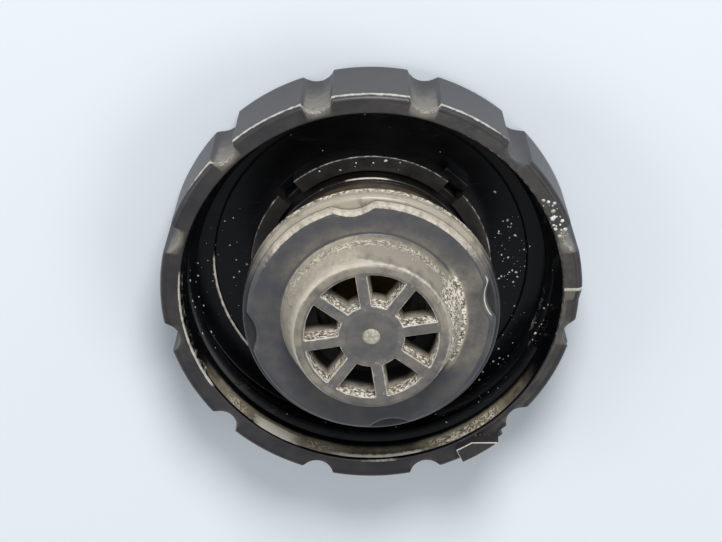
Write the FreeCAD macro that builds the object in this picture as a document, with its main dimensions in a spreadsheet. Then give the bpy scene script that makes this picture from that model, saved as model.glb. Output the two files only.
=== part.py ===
import FreeCAD, Part
import os
import re

import Sketcher
from FreeCAD import Placement, Rotation, Vector

# Screw cap of a coolant expansion tank, standing on its closed face with its mouth up.
# The origin is the middle of the closed face and +Z points out of the mouth.
# A grooved cap carries an internal thread and a segmented snap collar.
# A sealing plug snaps into the collar, turns freely there and holds a pressure and a vacuum valve.
# All sizes are millimetres and degrees.

SIZES = {
    # Cap: crown, skirt and mouth
    "cap_radius": 35.0,
    "skirt_draft": 1.6,
    "cap_height": 16.5,
    "crown_thickness": 3.5,
    "crown_round": 2.0,
    "crown_border": 9.4,
    "crown_recess_depth": 0.5,
    "rim_width": 3.35,
    "leadin_run": 1.25,
    "leadin_depth": 3.6,
    "land_width": 4.4,
    "land_height": 0.6,
    # Grip grooves
    "groove_count": 12,
    "groove_radius": 2.8,
    "groove_depth": 2.0,
    "groove_edge_round": 0.8,
    "rim_round": 1.1,
    # Stop lug and the stepped stretch of the rim beside it
    "lug_height": 2.4,
    "lug_inner_gap": 0.25,
    "lug_outer_inset": 0.5,
    "lug_face_angle": 55.0,
    "lug_end_angle": 63.9,
    "step_depth": 1.0,
    "step_ramp": 2.6,
    "step_offset": 0.3,
    # Internal thread
    "thread_pitch": 5.0,
    "thread_height": 1.4,
    "thread_foot_width": 2.8,
    "thread_crest_width": 1.2,
    "thread_rise": 5.6,
    "thread_start_angle": 292.0,
    "thread_clearance": 0.4,
    # Snap collar on the floor of the cap
    "collar_radius": 20.0,
    "collar_height": 4.0,
    "collar_wall": 1.5,
    "lip_thickness": 1.4,
    "lip_overhang": 1.3,
    "collar_slot": 3.3,
    "collar_slot_count": 4,
    "collar_root": 0.4,
    "bridge_angle": 47.0,
    "bridge_width": 5.0,
    "bridge_overlap": 1.0,
    "bridge_reach": 1.2,
    "bridge_height": 2.4,
    "swivel_gap": 0.3,
    # Plug body
    "plug_turn": 8.4,
    "tube_wall": 1.7,
    "rear_wall": 1.5,
    "bead_height": 0.6,
    "bead_width": 0.8,
    "bead_level": 6.1,
    "vent_count": 4,
    "vent_level": 9.9,
    "vent_height": 2.2,
    "vent_width": 7.0,
    "flange_level": 17.3,
    "flange_thickness": 1.2,
    "flange_inset": 1.0,
    # Neck seal
    "seal_reach": 4.3,
    "seal_width": 3.7,
    "seal_round": 1.0,
    # Plug front: disc, boss and grille
    "disc_inset": 0.7,
    "disc_thickness": 1.3,
    "disc_round": 1.1,
    "scallop_count": 4,
    "scallop_radius": 6.0,
    "scallop_depth": 1.3,
    "boss_radius": 14.9,
    "boss_front_radius": 12.8,
    "boss_height": 7.6,
    "boss_round": 1.2,
    "boss_foot_round": 1.0,
    "grille_depth": 5.0,
    "window_count": 8,
    "window_radius": 11.0,
    "hub_radius": 5.5,
    "spoke_width": 1.8,
    "chamber_radius": 11.4,
    "nub_radius": 1.3,
    "nub_height": 0.5,
    # Valve seat inside the plug front
    "spigot_clearance": 0.05,
    "spigot_length": 10.0,
    "guide_radius": 12.6,
    "seat_radius": 9.0,
    "seat_top_drop": 1.5,
    "seat_thickness": 2.0,
    "seat_lip_width": 1.0,
    "seat_lip_height": 0.6,
    # Pressure valve
    "plate_gap": 0.4,
    "plate_thickness": 1.5,
    "plate_hub_radius": 3.6,
    "plate_hub_length": 1.7,
    "plate_ring_gap": 0.3,
    "plate_ring_wall": 1.0,
    "plate_ring_length": 1.5,
    "plate_port_count": 4,
    "plate_port_radius": 0.9,
    "plate_port_place": 4.9,
    "pressure_seal_thickness": 1.2,
    "pressure_seal_inner": 7.8,
    "pressure_seal_edge": 0.3,
    "cup_radius": 11.6,
    "cup_thickness": 0.8,
    "cup_rim_height": 1.6,
    "cup_pilot_height": 1.8,
    "spring_radius": 9.6,
    "spring_wire": 1.3,
    "spring_turns": 5.5,
    "spring_end_gap": 0.05,
    # Vacuum valve
    "stem_radius": 2.0,
    "stem_gap": 0.1,
    "vacuum_seal_radius": 6.6,
    "vacuum_seal_thickness": 0.8,
    "vacuum_head_radius": 6.4,
    "vacuum_head_thickness": 1.0,
    "vacuum_spring_length": 4.2,
    "vacuum_spring_radius": 2.9,
    "vacuum_spring_wire": 0.5,
    "vacuum_spring_turns": 4.5,
    "clip_radius": 3.9,
    "clip_thickness": 0.7,
    "clip_slot": 2.6,
    "clip_groove_depth": 0.5,
    "clip_gap": 0.05,
    "stem_tip": 0.8,
}

os.makedirs("parts", exist_ok=True)
doc = FreeCAD.newDocument("expansion_tank_cap")
sheet = doc.addObject("Spreadsheet::Sheet", "Sizes")
for row, (alias, size) in enumerate(SIZES.items(), start=1):
    sheet.set(f"A{row}", alias)
    sheet.set(f"B{row}", str(size))
    sheet.setAlias(f"B{row}", alias)
doc.recompute()


def ex(text):
    """Turns plain size names into references to the sheet."""
    return re.sub(r"[a-z_]+", lambda word: f"Sizes.{word[0]}" if word[0] in SIZES else word[0], text)


def value(text):
    """The number that an expression of size names gives now."""
    return float(sheet.evalExpression(ex(text)))


# Levels above the closed face, all worked out from the sizes
FLOOR = "crown_thickness"
LAND = f"( {FLOOR} + land_height )"
COLLAR_TOP = f"( {FLOOR} + collar_height )"
LIP_UNDER = f"( {COLLAR_TOP} - lip_thickness )"
PLUG_REAR = f"( {FLOOR} + swivel_gap )"
SNAP_TOP = f"( {LIP_UNDER} - swivel_gap )"
BEAD = f"( {PLUG_REAR} + bead_level )"
VENT = f"( {PLUG_REAR} + vent_level )"
FLANGE = f"( {PLUG_REAR} + flange_level )"
SEAL_BOTTOM = f"( {FLANGE} + flange_thickness )"
DISC_REAR = f"( {SEAL_BOTTOM} + seal_width )"
DISC_FRONT = f"( {DISC_REAR} + disc_thickness )"
GRILLE_FRONT = f"( {DISC_FRONT} + boss_height )"
GRILLE_REAR = f"( {GRILLE_FRONT} - grille_depth )"
SEAT_TOP = f"( {DISC_REAR} - seat_top_drop )"
SEAT_UNDER = f"( {SEAT_TOP} - seat_thickness )"
SEAT_FACE = f"( {SEAT_UNDER} - seat_lip_height )"
SPIGOT_END = f"( {DISC_REAR} - spigot_length )"
PLATE_TOP = f"( {SEAT_FACE} - pressure_seal_thickness )"
PLATE_UNDER = f"( {PLATE_TOP} - plate_thickness )"
PLATE_HUB_END = f"( {PLATE_UNDER} - plate_hub_length )"
CUP_UNDER = f"( {PLUG_REAR} + rear_wall )"
CUP_TOP = f"( {CUP_UNDER} + cup_thickness )"
HEAD_UNDER = f"( {PLATE_TOP} + vacuum_seal_thickness )"
HEAD_TOP = f"( {HEAD_UNDER} + vacuum_head_thickness )"
CLIP_TOP = f"( {PLATE_HUB_END} - vacuum_spring_length )"
CLIP_UNDER = f"( {CLIP_TOP} - clip_thickness )"
STEM_END = f"( {CLIP_UNDER} - stem_tip )"

# The direction in an upright sketch that lies along the Z axis
UPRIGHT = Vector(0, 1, 0)

# Radii that follow from the radius of the piece around or inside them
CROWN_RADIUS = "( cap_radius - skirt_draft )"
RECESS_RADIUS = f"( {CROWN_RADIUS} - crown_border )"
MOUTH_RADIUS = "( cap_radius - rim_width )"
WALL_RADIUS = f"( {MOUTH_RADIUS} - leadin_run )"
LAND_RADIUS = f"( {WALL_RADIUS} - land_width )"
LUG_INNER = f"( {MOUTH_RADIUS} + lug_inner_gap )"
LUG_OUTER = "( cap_radius - lug_outer_inset )"
LUG_FACE = f"( ( {LUG_INNER} + {LUG_OUTER} ) / 2 * sin(lug_face_angle * 1 deg ) )"
COLLAR_BORE = "( collar_radius - collar_wall )"
LIP_RADIUS = f"( {COLLAR_BORE} - lip_overhang )"
SNAP_RADIUS = f"( {COLLAR_BORE} - swivel_gap )"
TUBE_RADIUS = f"( {LIP_RADIUS} - swivel_gap )"
TUBE_BORE = f"( {TUBE_RADIUS} - tube_wall )"
SPIGOT_RADIUS = f"( {TUBE_BORE} - spigot_clearance )"
SEAL_RADIUS = f"( {TUBE_RADIUS} + seal_reach )"
FLANGE_RADIUS = f"( {SEAL_RADIUS} - flange_inset )"
DISC_RADIUS = f"( {SEAL_RADIUS} - disc_inset )"
SEAT_LIP_OUTER = "( seat_radius + seat_lip_width )"
PLATE_RADIUS = "( guide_radius - plate_gap )"
SPRING_INNER = "( spring_radius - spring_wire / 2 )"
RING_OUTER = f"( {SPRING_INNER} - plate_ring_gap )"
RING_INNER = f"( {RING_OUTER} - plate_ring_wall )"
STEM_HOLE = "( stem_radius + stem_gap )"
CLIP_BORE = "( stem_radius - clip_groove_depth + clip_gap )"


def new_body(label):
    """Starts a body whose label is the name of its node."""
    body = doc.addObject("PartDesign::Body", label)
    body.Label = label
    return body


def origin_feature(body, role):
    """An origin plane or axis of a body, found by its role."""
    return next(item for item in body.Origin.OriginFeatures if item.Role == role)


def new_sketch(body, name, role, level=None, turn=None, about=Vector(0, 0, 1)):
    """A sketch on an origin plane of its body, moved along its normal and turned about an axis."""
    sketch = body.newObject("Sketcher::SketchObject", name)
    sketch.AttachmentSupport = (origin_feature(body, role), [""])
    sketch.MapMode = "FlatFace"
    angle = value(turn) if turn else 0.0
    height = value(level) if level else 0.0
    sketch.AttachmentOffset = Placement(Vector(0, 0, height), Rotation(about, angle))
    if level:
        sketch.setExpression("AttachmentOffset.Base.z", ex(level))
    if turn:
        sketch.setExpression("AttachmentOffset.Rotation.Angle", ex(turn))
    return sketch


def bind(sketch, index, name, text):
    """Names a constraint and drives it from the sheet."""
    sketch.renameConstraint(index, name)
    sketch.setExpression(f"Constraints.{name}", ex(text))


def place_point(sketch, geo, pos, name, across, up):
    """Ties one point of a sketch to its two coordinates."""
    for axis, kind, text in (("x", "DistanceX", across), ("y", "DistanceY", up)):
        size = value(text)
        if abs(size) < 1e-9:
            on_axis = -2 if axis == "x" else -1
            sketch.addConstraint(Sketcher.Constraint("PointOnObject", geo, pos, on_axis))
        else:
            index = sketch.addConstraint(Sketcher.Constraint(kind, -1, 1, geo, pos, size))
            bind(sketch, index, f"{axis}{name}", text)


def add_outline(sketch, points):
    """A closed outline of straight lines through points given as two expressions each."""
    places = [Vector(value(across), value(up), 0) for across, up in points]
    count = len(points)
    for number in range(count):
        line = Part.LineSegment(places[number], places[(number + 1) % count])
        sketch.addGeometry(line, False)
    for number, (across, up) in enumerate(points):
        before = (number - 1) % count
        sketch.addConstraint(Sketcher.Constraint("Coincident", before, 2, number, 1))
        place_point(sketch, number, 1, number, across, up)


def add_circle(sketch, name, across, up, radius):
    """A circle whose middle and radius come from the sheet."""
    middle = Vector(value(across), value(up), 0)
    geo = sketch.addGeometry(Part.Circle(middle, Vector(0, 0, 1), value(radius)), False)
    place_point(sketch, geo, 3, name, across, up)
    index = sketch.addConstraint(Sketcher.Constraint("Radius", geo, value(radius)))
    bind(sketch, index, f"r{name}", radius)


def revolve(body, name, points):
    """Turns a half section, given as radius and height, about the Z axis."""
    sketch = new_sketch(body, f"{name}_section", "XZ_Plane")
    add_outline(sketch, points)
    feature = body.newObject("PartDesign::Revolution", name)
    feature.Profile = sketch
    feature.ReferenceAxis = (sketch, ["V_Axis"])
    feature.Angle = 360.0
    doc.recompute()
    return feature


def extrude(body, kind, name, sketch, length, reverse=False):
    """Pads or pockets a sketch and checks that it changed the volume the right way."""
    before = body.Shape.Volume
    feature = body.newObject(f"PartDesign::{kind}", name)
    feature.Profile = sketch
    feature.Length = value(length)
    feature.setExpression("Length", ex(length))
    feature.Reversed = reverse
    doc.recompute()
    grew = body.Shape.Volume - before
    if (kind == "Pad") != (grew > 0) or abs(grew) < 1e-6:
        raise ValueError(f"{name} changed the volume by {grew:.4f}")
    return feature


def repeat_round(body, name, feature, count):
    """Repeats a feature evenly about the Z axis."""
    pattern = body.newObject("PartDesign::PolarPattern", name)
    pattern.Originals = [feature]
    pattern.Axis = (origin_feature(body, "Z_Axis"), [""])
    pattern.Angle = 360.0
    pattern.Occurrences = int(value(count))
    pattern.setExpression("Occurrences", ex(count))
    body.Tip = pattern
    doc.recompute()
    return pattern


def round_edges(body, name, test, radius):
    """Rounds the edges of the body's tip that pass a test on their shape."""
    tip = body.Tip
    names = [f"Edge{n}" for n, edge in enumerate(tip.Shape.Edges, start=1) if test(edge)]
    if not names:
        raise ValueError(f"{name} finds no edge")
    feature = body.newObject("PartDesign::Fillet", name)
    feature.Base = (tip, names)
    feature.Radius = value(radius)
    feature.setExpression("Radius", ex(radius))
    doc.recompute()
    return feature


def edge_middle(edge):
    """The point halfway along an edge."""
    return edge.valueAt((edge.FirstParameter + edge.LastParameter) / 2)


def radius_of(point):
    """Distance of a point from the Z axis."""
    return (point.x ** 2 + point.y ** 2) ** 0.5


def is_ring(radius, level):
    """A test for edges that run round the Z axis at a radius and a height."""
    ring_radius, ring_level = value(radius), value(level)

    def test(edge):
        middle = edge_middle(edge)
        flat = edge.BoundBox.ZLength < 1e-4
        return flat and abs(middle.z - ring_level) < 1e-3 and abs(radius_of(middle) - ring_radius) < 1e-3

    return test


def turn_with_plug(item):
    """Turns a piece of the plug assembly about the Z axis with the rest of it."""
    item.Placement = Placement(Vector(0, 0, 0), Rotation(Vector(0, 0, 1), value("plug_turn")))
    item.setExpression("Placement.Rotation.Angle", ex("plug_turn"))


def grip_grooves(body):
    """Half-round grooves down the skirt that follow its draft, with eased edges."""
    sketch = new_sketch(body, "groove_section", "XZ_Plane", None, "180 / groove_count", UPRIGHT)
    low, high = "0 - groove_radius", "cap_height + groove_radius"
    slope = "skirt_draft / cap_height"
    low_axis = f"{CROWN_RADIUS} + groove_radius - groove_depth + {slope} * ( {low} )"
    high_axis = f"{CROWN_RADIUS} + groove_radius - groove_depth + {slope} * ( {high} )"
    add_outline(sketch, [
        (f"{low_axis} - groove_radius", low),
        (low_axis, low),
        (high_axis, high),
        (f"{high_axis} - groove_radius", high),
    ])
    sketch.addGeometry(sketch.Geometry[1], True)
    sketch.addConstraint(Sketcher.Constraint("Coincident", 4, 1, 1, 1))
    sketch.addConstraint(Sketcher.Constraint("Coincident", 4, 2, 1, 2))
    groove = body.newObject("PartDesign::Groove", "groove")
    groove.Profile = sketch
    groove.ReferenceAxis = (sketch, ["Axis0"])
    groove.Angle = 360.0
    doc.recompute()
    repeat_round(body, "grooves", groove, "groove_count")
    skirt_height = value("cap_height - crown_round")
    wall = value(MOUTH_RADIUS)

    def runs_down_skirt(edge):
        middle = edge_middle(edge)
        outside = radius_of(middle) > wall and abs(middle.y) > 1e-3
        return outside and edge.BoundBox.ZLength > skirt_height * 0.7

    round_edges(body, "groove_edges", runs_down_skirt, "groove_edge_round")


def rim_step(body):
    """A lowered stretch of the rim with a ramp at one end and the stop lug at the other."""
    above = "cap_height + rim_round"
    profile = new_sketch(body, "step_section", "YZ_Plane", "step_offset")
    add_outline(profile, [
        ("0 - step_offset", "cap_height"),
        ("0 - step_offset - step_ramp", "cap_height - step_depth"),
        (f"0 - {LUG_FACE}", "cap_height - step_depth"),
        (f"0 - {LUG_FACE}", above),
        ("0 - step_offset", above),
    ])
    extrude(body, "Pocket", "rim_step", profile, "cap_radius + rim_round", True)


def stop_lug(body):
    """The lug that stops the cap when it is screwed home."""
    base = "cap_height - step_depth"
    sketch = new_sketch(body, "lug_plan", "XY_Plane", base)
    across_end = "cos(lug_end_angle * 1 deg )"
    down_end = "sin(lug_end_angle * 1 deg )"
    add_outline(sketch, [
        (f"sqrt({LUG_INNER} ^ 2 - {LUG_FACE} ^ 2 )", f"0 - {LUG_FACE}"),
        (f"sqrt({LUG_OUTER} ^ 2 - {LUG_FACE} ^ 2 )", f"0 - {LUG_FACE}"),
        (f"{LUG_OUTER} * {across_end}", f"0 - {LUG_OUTER} * {down_end}"),
        (f"{LUG_INNER} * {across_end}", f"0 - {LUG_INNER} * {down_end}"),
    ])
    extrude(body, "Pad", "stop_lug", sketch, "step_depth + lug_height")


def neck_thread(body):
    """One rounded ridge that winds up the wall of the cap, for the tank's threaded neck."""
    start = f"( {LAND} + thread_clearance + thread_foot_width / 2 )"
    crest = f"( {WALL_RADIUS} - thread_height )"
    bury = f"( {WALL_RADIUS} + thread_height / 4 )"
    sketch = new_sketch(body, "thread_section", "XZ_Plane", None, "thread_start_angle", UPRIGHT)
    add_outline(sketch, [
        (bury, f"{start} - thread_foot_width / 2"),
        (crest, f"{start} - thread_crest_width / 2"),
        (crest, f"{start} + thread_crest_width / 2"),
        (bury, f"{start} + thread_foot_width / 2"),
    ])
    thread = body.newObject("PartDesign::AdditiveHelix", "neck_thread")
    thread.Profile = sketch
    thread.ReferenceAxis = (origin_feature(body, "Z_Axis"), [""])
    thread.Mode = 0
    thread.Pitch = value("thread_pitch")
    thread.setExpression("Pitch", ex("thread_pitch"))
    thread.Height = value("thread_rise")
    thread.setExpression("Height", ex("thread_rise"))
    doc.recompute()


def collar_slots(body):
    """Slots that split the snap collar into springy segments, down to a low root."""
    turn = "180 / collar_slot_count"
    sketch = new_sketch(body, "collar_slot", "XY_Plane", f"{FLOOR} + collar_root", turn)
    inner, outer = f"{LIP_RADIUS} - 1", "collar_radius + 0.5"
    add_outline(sketch, [
        (inner, "0 - collar_slot / 2"),
        (outer, "0 - collar_slot / 2"),
        (outer, "collar_slot / 2"),
        (inner, "collar_slot / 2"),
    ])
    slot = extrude(body, "Pocket", "slot", sketch, "collar_height + 1", True)
    repeat_round(body, "collar_slots", slot, "collar_slot_count")


def collar_bridge(body):
    """A low block that ties two segments of the snap collar together behind one of its slots."""
    sketch = new_sketch(body, "bridge_plan", "XY_Plane", FLOOR, "bridge_angle")
    inner, outer = "collar_radius - bridge_overlap", "collar_radius + bridge_reach"
    add_outline(sketch, [
        (inner, "0 - bridge_width / 2"),
        (outer, "0 - bridge_width / 2"),
        (outer, "bridge_width / 2"),
        (inner, "bridge_width / 2"),
    ])
    extrude(body, "Pad", "collar_bridge", sketch, "bridge_height")


def make_snap_collar():
    """The collar that grips the plug's snap flange, standing on the floor of the cap."""
    body = new_body("snap_collar")
    revolve(body, "collar_ring", [
        ("collar_radius", FLOOR),
        ("collar_radius", COLLAR_TOP),
        (LIP_RADIUS, COLLAR_TOP),
        (LIP_RADIUS, LIP_UNDER),
        (COLLAR_BORE, LIP_UNDER),
        (COLLAR_BORE, FLOOR),
    ])
    collar_slots(body)
    collar_bridge(body)
    return body


def make_grip_cap():
    """Crown, grooved skirt, thread, stop lug and floor land."""
    body = new_body("grip_cap")
    revolve(body, "cap_blank", [
        ("0", "crown_recess_depth"),
        (RECESS_RADIUS, "crown_recess_depth"),
        (f"{RECESS_RADIUS} + crown_recess_depth", "0"),
        (CROWN_RADIUS, "0"),
        ("cap_radius", "cap_height"),
        (MOUTH_RADIUS, "cap_height"),
        (WALL_RADIUS, "cap_height - leadin_depth"),
        (WALL_RADIUS, LAND),
        (LAND_RADIUS, LAND),
        (LAND_RADIUS, FLOOR),
        ("0", FLOOR),
    ])
    round_edges(body, "crown_edge", is_ring(CROWN_RADIUS, "0"), "crown_round")
    round_edges(body, "rim_edge", is_ring("cap_radius", "cap_height"), "rim_round")
    grip_grooves(body)
    rim_step(body)
    stop_lug(body)
    neck_thread(body)
    return body


def make_plug_body():
    """Tube of the plug with its rear wall, snap flange, bead, side vents and seal flange."""
    body = new_body("plug_body")
    bead_radius = f"{TUBE_RADIUS} + bead_height"
    revolve(body, "plug_tube", [
        ("0", PLUG_REAR),
        (SNAP_RADIUS, PLUG_REAR),
        (SNAP_RADIUS, SNAP_TOP),
        (TUBE_RADIUS, SNAP_TOP),
        (TUBE_RADIUS, BEAD),
        (bead_radius, BEAD),
        (bead_radius, f"{BEAD} + bead_width"),
        (TUBE_RADIUS, f"{BEAD} + bead_width"),
        (TUBE_RADIUS, FLANGE),
        (FLANGE_RADIUS, FLANGE),
        (FLANGE_RADIUS, SEAL_BOTTOM),
        (TUBE_RADIUS, SEAL_BOTTOM),
        (TUBE_RADIUS, DISC_REAR),
        (TUBE_BORE, DISC_REAR),
        (TUBE_BORE, CUP_UNDER),
        ("0", CUP_UNDER),
    ])
    sketch = new_sketch(body, "vent_outline", "YZ_Plane")
    add_outline(sketch, [
        ("0 - vent_width / 2", VENT),
        ("vent_width / 2", VENT),
        ("vent_width / 2", f"{VENT} + vent_height"),
        ("0 - vent_width / 2", f"{VENT} + vent_height"),
    ])
    vent = extrude(body, "Pocket", "vent", sketch, f"{TUBE_RADIUS} + bead_height", True)
    repeat_round(body, "vents", vent, "vent_count")
    turn_with_plug(body)
    return body


def grille_windows(body):
    """A ring-shaped opening bridged by spokes, so that windows stay round a solid hub."""
    ring = new_sketch(body, "window_ring", "XY_Plane", GRILLE_REAR)
    add_circle(ring, "inner", "0", "0", "hub_radius")
    add_circle(ring, "outer", "0", "0", "window_radius")
    extrude(body, "Pocket", "window_ring_cut", ring, "grille_depth + boss_round", True)
    plan = new_sketch(body, "spoke_plan", "XY_Plane", GRILLE_REAR)
    add_outline(plan, [
        ("hub_radius - spoke_width", "0 - spoke_width / 2"),
        ("window_radius + spoke_width / 2", "0 - spoke_width / 2"),
        ("window_radius + spoke_width / 2", "spoke_width / 2"),
        ("hub_radius - spoke_width", "spoke_width / 2"),
    ])
    spoke = extrude(body, "Pad", "spoke", plan, "grille_depth")
    repeat_round(body, "spokes", spoke, "window_count")


def make_plug_front():
    """Scalloped disc, tapered boss with its grille, spigot and valve seat in one moulding."""
    body = new_body("plug_front")
    revolve(body, "front_blank", [
        ("0", GRILLE_FRONT),
        ("boss_front_radius", GRILLE_FRONT),
        ("boss_radius", DISC_FRONT),
        (DISC_RADIUS, DISC_FRONT),
        (DISC_RADIUS, DISC_REAR),
        (SPIGOT_RADIUS, DISC_REAR),
        (SPIGOT_RADIUS, SPIGOT_END),
        ("guide_radius", SPIGOT_END),
        ("guide_radius", SEAT_UNDER),
        (SEAT_LIP_OUTER, SEAT_UNDER),
        (SEAT_LIP_OUTER, SEAT_FACE),
        ("seat_radius", SEAT_FACE),
        ("seat_radius", SEAT_TOP),
        ("chamber_radius", SEAT_TOP),
        ("chamber_radius", GRILLE_REAR),
        ("0", GRILLE_REAR),
    ])
    round_edges(body, "boss_edge", is_ring("boss_front_radius", GRILLE_FRONT), "boss_round")
    round_edges(body, "boss_foot", is_ring("boss_radius", DISC_FRONT), "boss_foot_round")
    sketch = new_sketch(body, "scallop_plan", "XY_Plane", DISC_REAR)
    add_circle(sketch, "scallop", f"{DISC_RADIUS} - scallop_depth + scallop_radius", "0", "scallop_radius")
    scallop = extrude(body, "Pocket", "scallop", sketch, "disc_thickness * 2", True)
    repeat_round(body, "scallops", scallop, "scallop_count")
    front, inside = value(DISC_FRONT), value(f"{DISC_RADIUS} - scallop_depth")

    def on_disc_edge(edge):
        middle = edge_middle(edge)
        flat = edge.BoundBox.ZLength < 1e-4 and abs(middle.z - front) < 1e-3
        return flat and radius_of(middle) > inside - 0.1

    round_edges(body, "disc_edge", on_disc_edge, "disc_round")
    grille_windows(body)
    nub_plan = new_sketch(body, "nub_plan", "XY_Plane", GRILLE_FRONT)
    add_circle(nub_plan, "nub", "0", "0", "nub_radius")
    extrude(body, "Pad", "gate_nub", nub_plan, "nub_height")
    turn_with_plug(body)
    return body


def make_ring(label, inner, outer, bottom, top):
    """A plain ring or washer between two radii and two heights."""
    body = new_body(label)
    revolve(body, f"{label}_ring", [(inner, bottom), (outer, bottom), (outer, top), (inner, top)])
    return body


def make_neck_seal():
    """Rubber ring that seals the plug in the bore of the tank's neck."""
    body = make_ring("neck_seal", TUBE_RADIUS, SEAL_RADIUS, SEAL_BOTTOM, DISC_REAR)
    for name, level in (("seal_low_edge", SEAL_BOTTOM), ("seal_high_edge", DISC_REAR)):
        round_edges(body, name, is_ring(SEAL_RADIUS, level), "seal_round")
    return body


def make_spring_cup():
    """Cup on the rear wall of the plug that centres the pressure spring."""
    body = new_body("spring_cup")
    pilot = f"{SPRING_INNER} - plate_ring_gap"
    rim_inner = "cup_radius - cup_thickness"
    revolve(body, "cup_section", [
        ("0", CUP_UNDER),
        ("cup_radius", CUP_UNDER),
        ("cup_radius", f"{CUP_TOP} + cup_rim_height"),
        (rim_inner, f"{CUP_TOP} + cup_rim_height"),
        (rim_inner, CUP_TOP),
        (pilot, CUP_TOP),
        (pilot, f"{CUP_TOP} + cup_pilot_height"),
        (f"{pilot} - cup_thickness", f"{CUP_TOP} + cup_pilot_height"),
        (f"{pilot} - cup_thickness", CUP_TOP),
        ("0", CUP_TOP),
    ])
    return body


def make_pressure_plate():
    """Valve plate with a ring for the pressure spring and a hub for the vacuum stem."""
    body = new_body("pressure_plate")
    revolve(body, "plate_section", [
        (STEM_HOLE, PLATE_TOP),
        (PLATE_RADIUS, PLATE_TOP),
        (PLATE_RADIUS, PLATE_UNDER),
        (RING_OUTER, PLATE_UNDER),
        (RING_OUTER, f"{PLATE_UNDER} - plate_ring_length"),
        (RING_INNER, f"{PLATE_UNDER} - plate_ring_length"),
        (RING_INNER, PLATE_UNDER),
        ("plate_hub_radius", PLATE_UNDER),
        ("plate_hub_radius", PLATE_HUB_END),
        (STEM_HOLE, PLATE_HUB_END),
    ])
    sketch = new_sketch(body, "port_plan", "XY_Plane", PLATE_UNDER)
    add_circle(sketch, "port", "plate_port_place", "0", "plate_port_radius")
    port = extrude(body, "Pocket", "port", sketch, "plate_thickness + 1", True)
    repeat_round(body, "ports", port, "plate_port_count")
    turn_with_plug(body)
    return body


def make_vacuum_stem():
    """Mushroom valve: a head on the tank side and a grooved stem through the plate."""
    body = new_body("vacuum_stem")
    groove = "stem_radius - clip_groove_depth"
    revolve(body, "stem_section", [
        ("0", HEAD_TOP),
        ("vacuum_head_radius", HEAD_TOP),
        ("vacuum_head_radius", HEAD_UNDER),
        ("stem_radius", HEAD_UNDER),
        ("stem_radius", f"{CLIP_TOP} + clip_gap"),
        (groove, f"{CLIP_TOP} + clip_gap"),
        (groove, f"{CLIP_UNDER} - clip_gap"),
        ("stem_radius", f"{CLIP_UNDER} - clip_gap"),
        ("stem_radius", STEM_END),
        ("0", STEM_END),
    ])
    return body


def make_vacuum_clip():
    """Slotted washer that sits in the groove of the stem and carries the small spring."""
    body = make_ring("vacuum_clip", CLIP_BORE, "clip_radius", CLIP_UNDER, CLIP_TOP)
    sketch = new_sketch(body, "clip_slot_plan", "XY_Plane", CLIP_UNDER)
    add_outline(sketch, [
        ("0", "0 - clip_slot / 2"),
        ("clip_radius + 1", "0 - clip_slot / 2"),
        ("clip_radius + 1", "clip_slot / 2"),
        ("0", "clip_slot / 2"),
    ])
    extrude(body, "Pocket", "clip_slot", sketch, "clip_thickness + 1", True)
    turn_with_plug(body)
    return body


def drive(item, **texts):
    """Sets properties of an object to size expressions."""
    for name, text in texts.items():
        setattr(item, name, value(text))
        item.setExpression(name, ex(text))


def make_spring(label, radius, wire, turns, bottom, top):
    """A coil spring whose end turns just clear the seats at two heights."""
    rise = f"( {top} - {bottom} - {wire} - 2 * spring_end_gap )"
    path = doc.addObject("Part::Helix", f"{label}_path")
    drive(path, Radius=radius, Height=rise, Pitch=f"{rise} / {turns}")
    section = doc.addObject("Part::Circle", f"{label}_wire")
    drive(section, Radius=f"{wire} / 2")
    section.Placement = Placement(Vector(value(radius), 0, 0), Rotation(Vector(1, 0, 0), 90))
    section.setExpression("Placement.Base.x", ex(radius))
    doc.recompute()
    coil = doc.addObject("Part::Sweep", label)
    coil.Sections = [section]
    coil.Spine = (path, [f"Edge{n}" for n, edge in enumerate(path.Shape.Edges, start=1)])
    coil.Solid = True
    coil.Frenet = True
    coil.Label = label
    first_turn = f"{bottom} + {wire} / 2 + spring_end_gap"
    coil.Placement.Base.z = value(first_turn)
    coil.setExpression("Placement.Base.z", ex(first_turn))
    doc.recompute()
    return coil


nodes = [
    make_grip_cap(),
    make_snap_collar(),
    make_plug_body(),
    make_plug_front(),
    make_neck_seal(),
    make_spring_cup(),
    make_pressure_plate(),
    make_ring("pressure_seal", "pressure_seal_inner", f"{PLATE_RADIUS} - pressure_seal_edge",
              PLATE_TOP, SEAT_FACE),
    make_ring("vacuum_seal", STEM_HOLE, "vacuum_seal_radius", PLATE_TOP, HEAD_UNDER),
    make_vacuum_stem(),
    make_vacuum_clip(),
    make_spring("pressure_spring", "spring_radius", "spring_wire", "spring_turns",
                CUP_TOP, PLATE_UNDER),
    make_spring("vacuum_spring", "vacuum_spring_radius", "vacuum_spring_wire",
                "vacuum_spring_turns", CLIP_TOP, PLATE_HUB_END),
]
doc.recompute()

for item in doc.Objects:
    if "Invalid" in item.State or "Error" in item.State:
        raise ValueError(f"{item.Label} did not build: {item.State}")
for node in nodes:
    if node.Shape.isNull() or not node.Shape.isValid():
        raise ValueError(f"{node.Label} has no valid shape")
    node.Shape.exportStep(os.path.join("parts", f"{node.Label}.step"))
    print(node.Label, len(node.Shape.Solids), round(node.Shape.Volume, 1))
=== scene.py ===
"""Looks of a coolant expansion tank cap that stands on its closed face with its mouth up.

The cap is a black grooved moulding with an internal thread, a stop lug and a snap collar.
A grey sealing plug with a grille snaps into the collar. Lengths are millimetres until a mesh
is made, and every mesh is in metres in the row frame.
"""

from __future__ import annotations

import logging
import math
from collections.abc import Sequence
from dataclasses import dataclass, field
from enum import Enum

import bpy
import numpy as np
from mathutils import Matrix, Vector


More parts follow.
